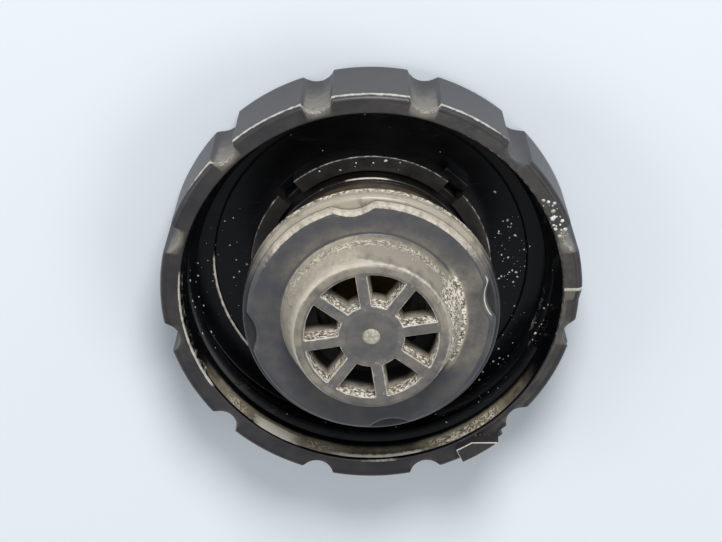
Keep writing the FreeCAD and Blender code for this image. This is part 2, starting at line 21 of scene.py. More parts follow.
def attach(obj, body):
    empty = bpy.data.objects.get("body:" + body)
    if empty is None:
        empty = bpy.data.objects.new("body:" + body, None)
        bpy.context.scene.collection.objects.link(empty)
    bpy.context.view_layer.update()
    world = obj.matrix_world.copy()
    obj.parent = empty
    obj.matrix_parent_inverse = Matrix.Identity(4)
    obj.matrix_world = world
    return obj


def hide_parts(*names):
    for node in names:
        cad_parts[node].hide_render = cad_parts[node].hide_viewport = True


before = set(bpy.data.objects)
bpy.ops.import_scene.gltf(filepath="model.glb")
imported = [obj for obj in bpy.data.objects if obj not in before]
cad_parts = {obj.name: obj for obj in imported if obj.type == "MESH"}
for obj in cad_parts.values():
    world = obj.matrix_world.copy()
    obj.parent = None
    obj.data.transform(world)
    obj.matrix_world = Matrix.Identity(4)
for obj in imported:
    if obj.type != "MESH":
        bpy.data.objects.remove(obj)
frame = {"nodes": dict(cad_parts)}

MM = 0.001
LOG = logging.getLogger("cap")
Profile = list[tuple[float, float]]
Socket = bpy.types.NodeSocket


class Body(Enum):
    """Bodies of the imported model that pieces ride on."""

    CAP = "cap"
    PLUG = "plug"


class Slot(Enum):
    """Material slots of the record."""

    CAP = "cap_plastic"
    PLUG = "plug_plastic"
    RUBBER = "seal_rubber"


class Ends(Enum):
    """How a surface of rings ends."""

    LOOPED = "the last ring joins the first"
    FANNED = "a fan closes each end"
    OPEN = "both ends stay open"


# Node trees


class NodeWriter:
    """Adds nodes to one tree and links them by socket name."""

    def __init__(self, tree: bpy.types.NodeTree) -> None:
        """Keeps the tree.

        Args:
            tree: The node tree to write into.
        """
        self.tree = tree

    def add(self, kind: str, inputs: dict[str | int, object] | None = None, **props: object) -> bpy.types.Node:
        """Adds a node, sets its properties, and sets or links its inputs.

        Args:
            kind: The node's type name.
            inputs: Input names or numbers with a value or a socket for each.
            **props: Properties of the node.

        Returns:
            The new node.
        """
        node = self.tree.nodes.new(kind)
        for name, setting in props.items():
            setattr(node, name, setting)
        for name, given in (inputs or {}).items():
            if isinstance(given, Socket):
                self.tree.links.new(given, node.inputs[name])
            else:
                node.inputs[name].default_value = given
        return node

    def math(self, operation: str, *values: object, clamp: bool = False) -> Socket:
        """Adds a Math node.

        Args:
            operation: The node's operation.
            *values: Numbers or sockets for its inputs.
            clamp: Whether the result is held between 0 and 1.

        Returns:
            The result's socket.
        """
        kind = "ShaderNodeMath"
        return self.add(kind, dict(enumerate(values)), operation=operation, use_clamp=clamp).outputs[0]

    def mix_color(self, amount: object, first: object, second: object, blend: str = "MIX") -> Socket:
        """Mixes two colours.

        Args:
            amount: Share of the second colour.
            first: The first colour or its socket.
            second: The second colour or its socket.
            blend: The blend mode.

        Returns:
            The mixed colour's socket.
        """
        node = self.add("ShaderNodeMix", {0: amount, 6: first, 7: second}, data_type="RGBA", blend_type=blend)
        return node.outputs[2]

    def ramp(self, value: Socket, low: float, high: float, low_to: float = 0.0, high_to: float = 1.0) -> Socket:
        """Maps a range of values onto another and holds it there.

        Args:
            value: The socket that is mapped.
            low: Start of the range.
            high: End of the range.
            low_to: What the start becomes.
            high_to: What the end becomes.

        Returns:
            The mapped value's socket.
        """
        settings = {"Value": value, "From Min": low, "From Max": high, "To Min": low_to, "To Max": high_to}
        return self.add("ShaderNodeMapRange", settings, interpolation_type="SMOOTHSTEP").outputs[0]

    def noise(self, place: Socket, scale: float, detail: float = 4.0, roughness: float = 0.55) -> Socket:
        """Adds a noise texture.

        Args:
            place: The coordinates.
            scale: Features per metre.
            detail: Octaves of detail.
            roughness: Strength of the finer octaves.

        Returns:
            The noise value's socket.
        """
        settings = {"Vector": place, "Scale": scale, "Detail": detail, "Roughness": roughness}
        return self.add("ShaderNodeTexNoise", settings).outputs["Fac"]


def rgb(red: float, green: float, blue: float) -> tuple[float, float, float, float]:
    """Turns an sRGB colour of 0 to 255 into the linear colour that sockets take.

    Args:
        red: Red, 0 to 255.
        green: Green, 0 to 255.
        blue: Blue, 0 to 255.

    Returns:
        Linear red, green and blue, and an alpha of 1.
    """
    linear = [c / 12.92 if c <= 0.04045 else ((c + 0.055) / 1.055) ** 2.4
              for c in (red / 255, green / 255, blue / 255)]
    return (linear[0], linear[1], linear[2], 1.0)


class SharedGroup:
    """Base of the shader groups that several materials use, each built once."""

    title = "group"
    inputs: tuple[tuple[str, str, object], ...] = ()
    outputs: tuple[tuple[str, str], ...] = ()

    @classmethod
    def tree(cls) -> bpy.types.NodeTree:
        """Returns the group's tree, which is built on first use.

        Returns:
            The tree.
        """
        found = bpy.data.node_groups.get(cls.title)
        if found:
            return found
        tree = bpy.data.node_groups.new(cls.title, "ShaderNodeTree")
        for name, kind, start in cls.inputs:
            tree.interface.new_socket(name, in_out="INPUT", socket_type=kind).default_value = start
        for name, kind in cls.outputs:
            tree.interface.new_socket(name, in_out="OUTPUT", socket_type=kind)
        writer = NodeWriter(tree)
        given = writer.add("NodeGroupInput")
        results = cls.write(writer, {s.name: s for s in given.outputs if s.name})
        writer.add("NodeGroupOutput", dict(results))
        return tree

    @classmethod
    def write(cls, writer: NodeWriter, given: dict[str, Socket]) -> dict[str, Socket]:
        """Writes the group's nodes.

        Args:
            writer: Writes into the group's tree.
            given: The group's inputs by name.

        Returns:
            Sockets for the group's outputs by name.
        """
        raise NotImplementedError

    @classmethod
    def place(cls, writer: NodeWriter, **values: object) -> bpy.types.Node:
        """Places the group in a material.

        Args:
            writer: Writes into the material's tree.
            **values: Inputs by name, with underscores for spaces.

        Returns:
            The group node.
        """
        node = writer.add("ShaderNodeGroup", node_tree=cls.tree())
        for name, given in values.items():
            socket = node.inputs[name.replace("_", " ")]
            if isinstance(given, Socket):
                writer.tree.links.new(given, socket)
            else:
                socket.default_value = given
        return node


class MouldGrain(SharedGroup):
    """Fine moulded grain with a few long scuffs, as a height."""

    title = "mould_grain"
    inputs = (
        ("Vector", "NodeSocketVector", (0.0, 0.0, 0.0)),
        ("Grain Scale", "NodeSocketFloat", 3000.0),
        ("Grain", "NodeSocketFloat", 0.5),
        ("Scuffs", "NodeSocketFloat", 0.4),
    )
    outputs = (("Height", "NodeSocketFloat"), ("Mottle", "NodeSocketFloat"))

    @classmethod
    def write(cls, writer: NodeWriter, given: dict[str, Socket]) -> dict[str, Socket]:
        """Writes the grain, the scuffs and the broad mottle.

        Args:
            writer: Writes into the group's tree.
            given: The group's inputs by name.

        Returns:
            The height and the mottle.
        """
        place = given["Vector"]
        fine = writer.add("ShaderNodeTexNoise", {"Vector": place, "Scale": given["Grain Scale"], "Detail": 3.0})
        grain = writer.math("MULTIPLY", fine.outputs["Fac"], given["Grain"])
        stretched = writer.add("ShaderNodeMapping", {"Vector": place, "Scale": (90.0, 900.0, 300.0),
                                                     "Rotation": (0.4, 0.2, 0.9)}).outputs[0]
        streaks = writer.noise(stretched, 1.0, 5.0, 0.7)
        scuffs = writer.math("MULTIPLY", writer.ramp(streaks, 0.6, 0.72), given["Scuffs"])
        mottle = writer.noise(place, 260.0, 5.0, 0.6)
        return {"Height": writer.math("ADD", grain, scuffs), "Mottle": mottle}


class RubbedEdgeAndHighlight(SharedGroup):
    """Pale wear and painted highlights where a mask and a rough noise meet."""

    title = "rubbed_edge"
    inputs = (
        ("Vector", "NodeSocketVector", (0.0, 0.0, 0.0)),
        ("Color", "NodeSocketColor", (0.0, 0.0, 0.0, 1.0)),
        ("Rubbed", "NodeSocketColor", (0.2, 0.2, 0.2, 1.0)),
        ("Mask", "NodeSocketFloat", 0.0),
        ("Breakup", "NodeSocketFloat", 900.0),
    )
    outputs = (("Color", "NodeSocketColor"), ("Amount", "NodeSocketFloat"))

    @classmethod
    def write(cls, writer: NodeWriter, given: dict[str, Socket]) -> dict[str, Socket]:
        """Writes the broken mask and the mixed colour.

        Args:
            writer: Writes into the group's tree.
            given: The group's inputs by name.

        Returns:
            The colour and its share of wear and painted highlight.
        """
        coarse = writer.add("ShaderNodeTexNoise", {"Vector": given["Vector"], "Scale": given["Breakup"],
                                                   "Detail": 6.0, "Roughness": 0.68})
        lifted = writer.math("ADD", given["Mask"], writer.math("SUBTRACT", coarse.outputs["Fac"], 0.5))
        held = writer.math("MULTIPLY", writer.ramp(lifted, 0.35, 0.8), writer.ramp(given["Mask"], 0.02, 0.3))
        return {"Color": writer.mix_color(held, given["Color"], given["Rubbed"]), "Amount": held}


class ScaleCrust(SharedGroup):
    """Dried coolant, and painted light and shade where the mask carries them: a thin residue up to half of the
    mask, and pale grains over dark pits above it.
    """

    title = "scale_crust"
    inputs = (
        ("Vector", "NodeSocketVector", (0.0, 0.0, 0.0)),
        ("Color", "NodeSocketColor", (0.0, 0.0, 0.0, 1.0)),
        ("Film", "NodeSocketColor", (0.3, 0.25, 0.2, 1.0)),
        ("Grains", "NodeSocketColor", (0.6, 0.55, 0.45, 1.0)),
        ("Pits", "NodeSocketColor", (0.05, 0.04, 0.03, 1.0)),
        ("Mask", "NodeSocketFloat", 0.0),
        ("Scale", "NodeSocketFloat", 3000.0),
    )
    outputs = (("Color", "NodeSocketColor"), ("Amount", "NodeSocketFloat"), ("Height", "NodeSocketFloat"))

    @classmethod
    def write(cls, writer: NodeWriter, given: dict[str, Socket]) -> dict[str, Socket]:
        """Writes the film and the grains on it.

        Args:
            writer: Writes into the group's tree.
            given: The group's inputs by name.

        Returns:
            The colour, the covered share and the height.
        """
        clouds = writer.noise(given["Vector"], 420.0, 5.0, 0.6)
        patchy = writer.math("MULTIPLY_ADD", writer.math("SUBTRACT", clouds, 0.5), 2.4, 1.0)
        cover = writer.ramp(writer.math("MULTIPLY", given["Mask"], patchy), 0.0, 0.5)
        warp = writer.add("ShaderNodeTexNoise", {"Vector": given["Vector"], "Scale": 1400.0, "Detail": 2.0})
        bent = writer.add("ShaderNodeVectorMath", {0: warp.outputs["Color"], 1: (0.0005, 0.0005, 0.0005)},
                          operation="MULTIPLY").outputs[0]
        spot = writer.add("ShaderNodeVectorMath", {0: given["Vector"], 1: bent}, operation="ADD").outputs[0]
        cells = writer.add("ShaderNodeTexVoronoi", {"Vector": spot, "Scale": given["Scale"]})
        tone = writer.add("ShaderNodeSeparateColor", {"Color": cells.outputs["Color"]}).outputs[0]
        crusted = writer.ramp(given["Mask"], 0.48, 0.95)
        grains = writer.math("MULTIPLY", writer.ramp(tone, 0.42, 0.8), crusted)
        pits = writer.math("MULTIPLY", writer.ramp(tone, 0.4, 0.12), crusted)
        filmed = writer.mix_color(writer.math("MULTIPLY", cover, 0.78), given["Color"], given["Film"])
        pitted = writer.mix_color(writer.math("MULTIPLY", pits, 0.75), filmed, given["Pits"])
        height = writer.math("MULTIPLY_ADD", grains, 1.0, writer.math("MULTIPLY", pits, -0.6))
        return {"Color": writer.mix_color(grains, pitted, given["Grains"]), "Amount": grains, "Height": height}


@dataclass(frozen=True)
class Plastic:
    """A moulded plastic with pale wear at its edges and dried coolant, and painted highlights, painted lit bands
    and painted shade from its masks.

    Attributes:
        title: The material's name.
        color: Colour of the clean plastic.
        shade: A second tone that clouds it.
        rubbed: Colour of the pale wear, also the colour of painted highlights.
        film_and_painted_sheen: Colour of the thin residue, also the colour of painted lit bands and sheen.
        grains: Colour of the crusted grains.
        gloss: Roughness of the clean surface.
        grain: Strength of the moulded grain.
        scuffs: Strength of the scuffs.
        bump: Depth of the relief in metres.
        coat: Weight of the wet-looking coat.
        shine: Specular level of the surface.
    """

    title: str
    color: tuple[float, float, float, float]
    shade: tuple[float, float, float, float]
    rubbed: tuple[float, float, float, float]
    film_and_painted_sheen: tuple[float, float, float, float]
    grains: tuple[float, float, float, float]
    gloss: float = 0.5
    grain: float = 0.5
    scuffs: float = 0.4
    bump: float = 0.00005
    coat: float = 0.0
    shine: float = 0.5

    def build(self) -> bpy.types.Material:
        """Builds the material.

        Returns:
            The new material.
        """
        material = bpy.data.materials.new(self.title)
        material.use_nodes = True
        material.node_tree.nodes.clear()
        writer = NodeWriter(material.node_tree)
        place = writer.add("ShaderNodeTexCoord").outputs["Object"]
        grain = MouldGrain.place(writer, Vector=place, Grain=self.grain, Scuffs=self.scuffs)
        clouded = writer.mix_color(writer.ramp(grain.outputs["Mottle"], 0.35, 0.7), self.color, self.shade)
        # The first mask paints highlights as well as wear; the second paints lit bands and shade as well as
        # crust.
        rub = writer.add("ShaderNodeAttribute", attribute_name="rub").outputs["Fac"]
        crust = writer.add("ShaderNodeAttribute", attribute_name="crust").outputs["Fac"]
        edge = RubbedEdgeAndHighlight.place(writer, Vector=place, Color=clouded, Rubbed=self.rubbed, Mask=rub)
        scale = ScaleCrust.place(writer, Vector=place, Color=edge.outputs["Color"], Film=self.film_and_painted_sheen,
                                 Grains=self.grains, Mask=crust)
        worn_and_painted_highlight = writer.math("MULTIPLY_ADD", edge.outputs["Amount"], 0.12, self.gloss)
        uneven = writer.math("MULTIPLY_ADD", grain.outputs["Mottle"], 0.1, worn_and_painted_highlight)
        rough = writer.math("MULTIPLY_ADD", scale.outputs["Amount"], 0.35, uneven, clamp=True)
        relief = writer.math("MULTIPLY_ADD", scale.outputs["Height"], 2.0, grain.outputs["Height"])
        bump = writer.add("ShaderNodeBump", {"Height": relief, "Distance": self.bump, "Strength": 0.8})
        shader = writer.add("ShaderNodeBsdfPrincipled", {
            "Base Color": scale.outputs["Color"], "Roughness": rough, "Normal": bump.outputs[0],
            "Coat Weight": self.coat, "Coat Roughness": 0.12, "Specular IOR Level": self.shine})
        writer.add("ShaderNodeOutputMaterial", {"Surface": shader.outputs[0]})
        return material


@dataclass(frozen=True)
class Crumb:
    """Loose grains of dried coolant.

    Attributes:
        title: The material's name.
        color: Main colour of the grains.
        other: Colour of the browner grains.
    """

    title: str
    color: tuple[float, float, float, float]
    other: tuple[float, float, float, float]

    def build(self) -> bpy.types.Material:
        """Builds the material.

        Returns:
            The new material.
        """
        material = bpy.data.materials.new(self.title)
        material.use_nodes = True
        material.node_tree.nodes.clear()
        writer = NodeWriter(material.node_tree)
        place = writer.add("ShaderNodeTexCoord").outputs["Object"]
        tone = writer.ramp(writer.noise(place, 700.0, 3.0), 0.4, 0.62)
        fine = writer.noise(place, 9000.0, 2.0)
        bump = writer.add("ShaderNodeBump", {"Height": fine, "Distance": 0.00003, "Strength": 0.6})
        shader = writer.add("ShaderNodeBsdfPrincipled", {
            "Base Color": writer.mix_color(tone, self.color, self.other), "Roughness": 0.8,
            "Normal": bump.outputs[0]})
        writer.add("ShaderNodeOutputMaterial", {"Surface": shader.outputs[0]})
        return material


@dataclass(frozen=True)
class Rubber:
    """Moulded rubber with a faint bloom, dried coolant and painted light from its mask."""

    title: str = "seal_rubber_black"

    def build(self) -> bpy.types.Material:
        """Builds the material.

        Returns:
            The new material.
        """
        material = bpy.data.materials.new(self.title)
        material.use_nodes = True
        material.node_tree.nodes.clear()
        writer = NodeWriter(material.node_tree)
        place = writer.add("ShaderNodeTexCoord").outputs["Object"]
        grain = MouldGrain.place(writer, Vector=place, Grain=0.3, Scuffs=0.15)
        crust = writer.add("ShaderNodeAttribute", attribute_name="crust").outputs["Fac"]
        base = writer.mix_color(writer.ramp(grain.outputs["Mottle"], 0.4, 0.75),
                                rgb(34, 34, 36), rgb(46, 46, 48))
        # The pale film colour paints the lit top of the seal as well as residue.
        scale = ScaleCrust.place(writer, Vector=place, Color=base, Film=rgb(182, 173, 154),
                                 Grains=rgb(234, 226, 208), Mask=crust)
        rough = writer.math("MULTIPLY_ADD", scale.outputs["Amount"], 0.35, 0.32)
        bump = writer.add("ShaderNodeBump", {
            "Height": grain.outputs["Height"], "Distance": 0.00004, "Strength": 0.6})
        shader = writer.add("ShaderNodeBsdfPrincipled", {
            "Base Color": scale.outputs["Color"], "Roughness": rough, "Normal": bump.outputs[0]})
        writer.add("ShaderNodeOutputMaterial", {"Surface": shader.outputs[0]})
        return material


@dataclass(frozen=True)
class Metal:
    """Drawn, pressed or turned metal with fine lines round the Z axis.

    Attributes:
        title: The material's name.
        color: Colour of the metal.
        stained: Colour of the stained patches.
        gloss: Roughness where it is clean.
    """

    title: str
    color: tuple[float, float, float, float]
    stained: tuple[float, float, float, float]
    gloss: float = 0.3

    def build(self) -> bpy.types.Material:
        """Builds the material.

        Returns:
            The new material.
        """
        material = bpy.data.materials.new(self.title)
        material.use_nodes = True
        material.node_tree.nodes.clear()
        writer = NodeWriter(material.node_tree)
        place = writer.add("ShaderNodeTexCoord").outputs["Object"]
        grain = MouldGrain.place(writer, Vector=place, Grain=0.2, Scuffs=0.5)
        tone = writer.ramp(grain.outputs["Mottle"], 0.45, 0.75)
        rough = writer.math("MULTIPLY_ADD", grain.outputs["Mottle"], 0.25, self.gloss)
        bump = writer.add("ShaderNodeBump", {
            "Height": grain.outputs["Height"], "Distance": 0.00002, "Strength": 0.5})
        shader = writer.add("ShaderNodeBsdfPrincipled", {
            "Base Color": writer.mix_color(tone, self.color, self.stained), "Metallic": 1.0,
            "Roughness": rough, "Normal": bump.outputs[0]})
        writer.add("ShaderNodeOutputMaterial", {"Surface": shader.outputs[0]})
        return material


class Finishes:
    """Every finish of the cap, each built once."""

    def __init__(self) -> None:
        """Builds the materials."""
        beige, pale = rgb(158, 149, 132), rgb(232, 225, 209)
        # The cap's pale rubbed colour also paints highlights on the top edges and along the rim's step.
        self.cap = Plastic("cap_black_plastic", rgb(42, 41, 45), rgb(56, 53, 52), rgb(196, 192, 180),
                           rgb(128, 122, 110), rgb(202, 196, 182), gloss=0.36, grain=0.45, scuffs=0.35).build()
        # Glossy plastic inside the mouth, near black as painted shade of the deep cavity; its pale colours paint
        # the lead-in highlights.
        self.cavity = Plastic("cavity_black_plastic", rgb(7, 8, 11), rgb(13, 14, 17), rgb(214, 208, 194),
                              rgb(148, 138, 118), rgb(226, 218, 200), gloss=0.2, grain=0.2, scuffs=0.5,
                              shine=0.34).build()
        self.collar = Plastic("collar_black_plastic", rgb(22, 21, 21), rgb(36, 34, 32), rgb(206, 202, 194),
                              rgb(96, 92, 86), pale, gloss=0.3, grain=0.3, scuffs=0.4).build()
        self.grille = Plastic("grille_grey_plastic", rgb(76, 77, 82), rgb(92, 89, 86), rgb(230, 226, 216),
                              rgb(176, 166, 148), rgb(246, 239, 224), gloss=0.33, grain=0.3, scuffs=0.3).build()
        # The plug's cream rubbed colour paints the highlights on the boss and disc edges; its beige film paints
        # their lit bands.
        self.plug = Plastic("plug_grey_plastic", rgb(70, 71, 77), rgb(86, 83, 81), rgb(208, 198, 180),
                            beige, pale, gloss=0.33, grain=0.3, scuffs=0.3).build()
        self.stem = Plastic("plug_dark_plastic", rgb(17, 15, 15), rgb(28, 25, 23), rgb(206, 196, 184),
                            rgb(120, 104, 84), pale, gloss=0.26, grain=0.25, scuffs=0.3).build()
        self.rubber = Rubber().build()
        self.crumbs = Crumb("dried_coolant", rgb(234, 227, 211), rgb(166, 148, 122)).build()
        self.flecks = Crumb("pale_flecks", rgb(226, 226, 222), rgb(176, 172, 162)).build()
        self.steel = Metal("valve_steel", rgb(120, 118, 114), rgb(70, 62, 52), 0.4).build()
        self.brass = Metal("valve_brass", rgb(96, 76, 44), rgb(54, 44, 30), 0.42).build()


# Mesh making


def along(path: Profile, shares: Sequence[float], longer: float) -> Profile:
    """Lists a path's points after the first, with more of them on its long stretches.

    Args:
        path: The path.
        shares: Places of the points on a long stretch, from 0 to 1.
        longer: Length in millimetres past which a stretch is long.

    Returns:
        The points.
    """
    points: Profile = []
    for here, there in zip(path, path[1:]):
        places = shares if math.dist(here, there) > longer else (1.0,)
        points += [(here[0] + (there[0] - here[0]) * share, here[1] + (there[1] - here[1]) * share)
                   for share in places]
    return points


def fillet_path(points: Sequence[tuple[float, float, float]], steps: int = 5) -> Profile:
    """Rounds the corners of an open path.

    Args:
        points: Radius, height and corner radius of each point.
        steps: Number of pieces in each rounded corner.

    Returns:
        The points of the rounded path.
    """
    path: Profile = []
    for number, (across, up, radius) in enumerate(points):
        here = np.array((across, up))
        if radius <= 0 or number in (0, len(points) - 1):
            path.append((across, up))
            continue
        back = np.array(points[number - 1][:2]) - here
        ahead = np.array(points[number + 1][:2]) - here
        back_length, ahead_length = np.linalg.norm(back), np.linalg.norm(ahead)
        back, ahead = back / back_length, ahead / ahead_length
        half = math.acos(float(np.clip(back @ ahead, -1, 1))) / 2
        run = min(radius / math.tan(half), back_length * 0.49, ahead_length * 0.49)
        size = run * math.tan(half)
        middle = here + (back + ahead) / np.linalg.norm(back + ahead) * (size / math.sin(half))
        start, end = here + back * run - middle, here + ahead * run - middle
        turn = math.atan2(start[0] * end[1] - start[1] * end[0], float(start @ end))
        for step in range(steps + 1):
            angle = turn * step / steps
            spun = np.array((start[0] * math.cos(angle) - start[1] * math.sin(angle),
                             start[0] * math.sin(angle) + start[1] * math.cos(angle)))
            path.append(tuple(middle + spun))
    return path


def soft_min(first: np.ndarray, second: np.ndarray, blend: float) -> np.ndarray:
    """The smaller of two values, rounded where they meet.

    Args:
        first: First values.
        second: Second values.
        blend: Width of the rounding.

    Returns:
        The blended smaller values.
    """
    near = np.maximum(blend - np.abs(first - second), 0) / blend
    return np.minimum(first, second) - near * near * blend / 4


def groove_reach(phi: np.ndarray, count: int, centre: float | np.ndarray, radius: float) -> np.ndarray:
    """Distance from the axis at which evenly spaced round grooves begin.

    Args:
        phi: Angles in radians.
        count: Number of grooves, the first half a step from angle 0.
        centre: Distance of the grooves' axes from the middle.
        radius: Radius of the grooves.

    Returns:
        The distance for each angle, large where there is no groove.
    """
    step = 2 * math.pi / count
    off = np.mod(phi, step) - step / 2
    side = np.abs(centre * np.sin(off))
    inside = np.sqrt(np.maximum(radius**2 - side**2, 0))
    return centre * np.cos(off) - inside + np.maximum(side - radius, 0) * 4


def smooth_step(low: float, high: float, value: np.ndarray) -> np.ndarray:
    """Rises smoothly from 0 to 1 between two values.

    Args:
        low: Where it is 0.
        high: Where it is 1.
        value: Values to map.

    Returns:
        The mapped values.
    """
    share = np.clip((value - low) / (high - low), 0, 1)
    return share * share * (3 - 2 * share)


def arc_weight(phi: np.ndarray, middle: float, half: float, fade: float = 8.0) -> np.ndarray:
    """A weight of 1 within a stretch of the circle that fades out past its ends.

    Args:
        phi: Angles in radians.
        middle: Middle of the stretch in degrees.
        half: Half of its length in degrees.
        fade: Length of each fading end in degrees.

    Returns:
        Weights from 0 to 1.
    """
    off = np.abs(np.mod(np.degrees(phi) - middle + 180, 360) - 180)
    return 1 - smooth_step(half, half + fade, off)


class MeshKit:
    """Turns arrays of points into finished objects."""

    @staticmethod
    def block(name: str, low: Sequence[float], high: Sequence[float]) -> bpy.types.Mesh:
        """Makes a box.

        Args:
            name: Name of the mesh.
            low: Its least x, y and z.
            high: Its greatest x, y and z.

        Returns:
            The mesh.
        """
        sides = ((low[0], low[1]), (high[0], low[1]), (high[0], high[1]), (low[0], high[1]))
        corners = [(x, y, z) for z in (low[2], high[2]) for x, y in sides]
        faces = [[3, 2, 1, 0], [4, 5, 6, 7], [0, 1, 5, 4], [1, 2, 6, 5], [2, 3, 7, 6], [3, 0, 4, 7]]
        mesh = bpy.data.meshes.new(name)
        mesh.from_pydata([tuple(c * MM for c in corner) for corner in corners], [], faces)
        return mesh

    @staticmethod
    def link(name: str, mesh: bpy.types.Mesh, material: bpy.types.Material,
             sharp: float = 38.0) -> bpy.types.Object:
        """Makes an object of a mesh, with smooth faces and a material.

        Args:
            name: The object's name.
            mesh: Its mesh, in metres in the row frame.
            material: Its material.
            sharp: Angle in degrees past which an edge stays sharp.

        Returns:
            The new object.
        """
        mesh.shade_smooth()
        mesh.set_sharp_from_angle(angle=math.radians(sharp))
        mesh.materials.clear()
        mesh.materials.append(material)
        made = bpy.data.objects.new(name, mesh)
        bpy.context.scene.collection.objects.link(made)
        return made

    @staticmethod
    def attribute(mesh: bpy.types.Mesh, name: str, values: np.ndarray) -> None:
        """Stores one value for each point of a mesh.

        Args:
            mesh: The mesh.
            name: The attribute's name.
            values: One value for each point.
        """
        layer = mesh.attributes.new(name, "FLOAT", "POINT")
        layer.data.foreach_set("value", np.ascontiguousarray(values, np.float32))

    @staticmethod
    def polar(mesh: bpy.types.Mesh) -> tuple[np.ndarray, np.ndarray, np.ndarray]:
        """Polar coordinates of a mesh's points about the Z axis.

        Args:
            mesh: The mesh.

        Returns:
            Radii in millimetres, angles in radians and heights in millimetres.
        """
        places = np.array([v.co[:] for v in mesh.vertices]) / MM
        return np.hypot(places[:, 0], places[:, 1]), np.arctan2(places[:, 1], places[:, 0]), places[:, 2]

    @classmethod
    def lathe(cls, name: str, rings: np.ndarray, ends: Ends, **layers: np.ndarray) -> bpy.types.Mesh:
        """Joins rings of points into a surface.

        Args:
            name: The mesh's name.
            rings: Points as rings by columns by three, in millimetres.
            ends: How the surface ends.
            **layers: Values of point attributes as rings by columns.

        Returns:
            The mesh, in metres.
        """
        count, columns = rings.shape[:2]
        points = rings.reshape(-1, 3)
        ids = np.arange(count * columns).reshape(count, columns)
        turned = np.roll(ids, -1, axis=1)
        looped = ends is Ends.LOOPED
        following = np.roll(ids, -1, axis=0) if looped else ids[1:]
        following_turned = np.roll(turned, -1, axis=0) if looped else turned[1:]
        last = count if looped else count - 1
        quads = np.stack([ids[:last], turned[:last], following_turned, following], axis=-1).reshape(-1, 4)
        faces = quads.tolist()
        values = {key: layer.reshape(-1) for key, layer in layers.items()}
        if ends is Ends.FANNED:
            low, high = len(points), len(points) + 1
            points = np.concatenate([points, np.stack([rings[0].mean(0), rings[-1].mean(0)])])
            faces += [[low, b, a] for a, b in zip(ids[0].tolist(), turned[0].tolist())]
            faces += [[high, a, b] for a, b in zip(ids[-1].tolist(), turned[-1].tolist())]
            values = {key: np.concatenate([value, [value[0], value[-1]]]) for key, value in values.items()}
        mesh = bpy.data.meshes.new(name)
        mesh.from_pydata((points * MM).tolist(), [], faces)
        for key, value in values.items():
            cls.attribute(mesh, key, value)
        return mesh

    @classmethod
    def turned(cls, name: str, profile: Profile, columns: int, ends: Ends = Ends.LOOPED) -> bpy.types.Mesh:
        """Turns a profile of radius and height about the Z axis.

        Args:
            name: The mesh's name.
            profile: Points from the lower outside up, over and back inside.
            columns: Points round each ring.
            ends: How the surface ends.

        Returns:
            The mesh, in metres.
        """
        phi = np.arange(columns) * 2 * math.pi / columns
        section = np.array(profile)
        across = section[:, :1] * np.cos(phi)
        along = section[:, :1] * np.sin(phi)
        up = np.repeat(section[:, 1:], columns, axis=1)
        return cls.lathe(name, np.stack([across, along, up], axis=-1), ends)

    @staticmethod
    def plain(thing: bpy.types.Object) -> None:
        """Turns an object's modifiers into plain mesh.

        Args:
            thing: The object.
        """
        depsgraph = bpy.context.evaluated_depsgraph_get()
        mesh = bpy.data.meshes.new_from_object(thing.evaluated_get(depsgraph), depsgraph=depsgraph)
        thing.modifiers.clear()
        thing.data = mesh

    @staticmethod
    def turn(mesh: bpy.types.Mesh, degrees: float) -> None:
        """Turns a mesh about the Z axis.

        Args:
            mesh: The mesh.
            degrees: The angle.
        """
        mesh.transform(Matrix.Rotation(math.radians(degrees), 4, "Z"))


@dataclass(frozen=True)
class RingStack:
    """Rings of a surface about the Z axis, one after the other.

    Attributes:
        phi: Angles of the columns in radians.
        rows: Radius, height, rub and crust of each ring so far.
    """

    phi: np.ndarray
    rows: list[tuple[np.ndarray, ...]] = field(default_factory=list)

    def add(self, radius: object, level: object, rub: object = 0.0, crust: object = 0.0) -> None:
        """Adds a ring.

        Args:
            radius: Its radius, one value or one for each column.
            level: Its height, likewise.
            rub: How bright its edge is from wear and painted highlights, likewise.
            crust: How thickly it is caked with dried coolant, with painted lit bands and painted shade,
                likewise.
        """
        self.rows.append(tuple(np.broadcast_to(np.asarray(item, float), self.phi.shape)
                               for item in (radius, level, rub, crust)))

    def mesh(self, name: str, ends: Ends) -> bpy.types.Mesh:
        """Makes the surface.

        Args:
            name: Name of the mesh.
            ends: How it ends.

        Returns:
            The mesh, with its masks as attributes.
        """
        radii, levels, rub, crust = (np.stack([item[part] for item in self.rows]) for part in range(4))
        rings = np.stack([radii * np.cos(self.phi), radii * np.sin(self.phi), levels], axis=-1)
        return MeshKit.lathe(name, rings, ends, rub=rub, crust=crust)


# Geometry node trees


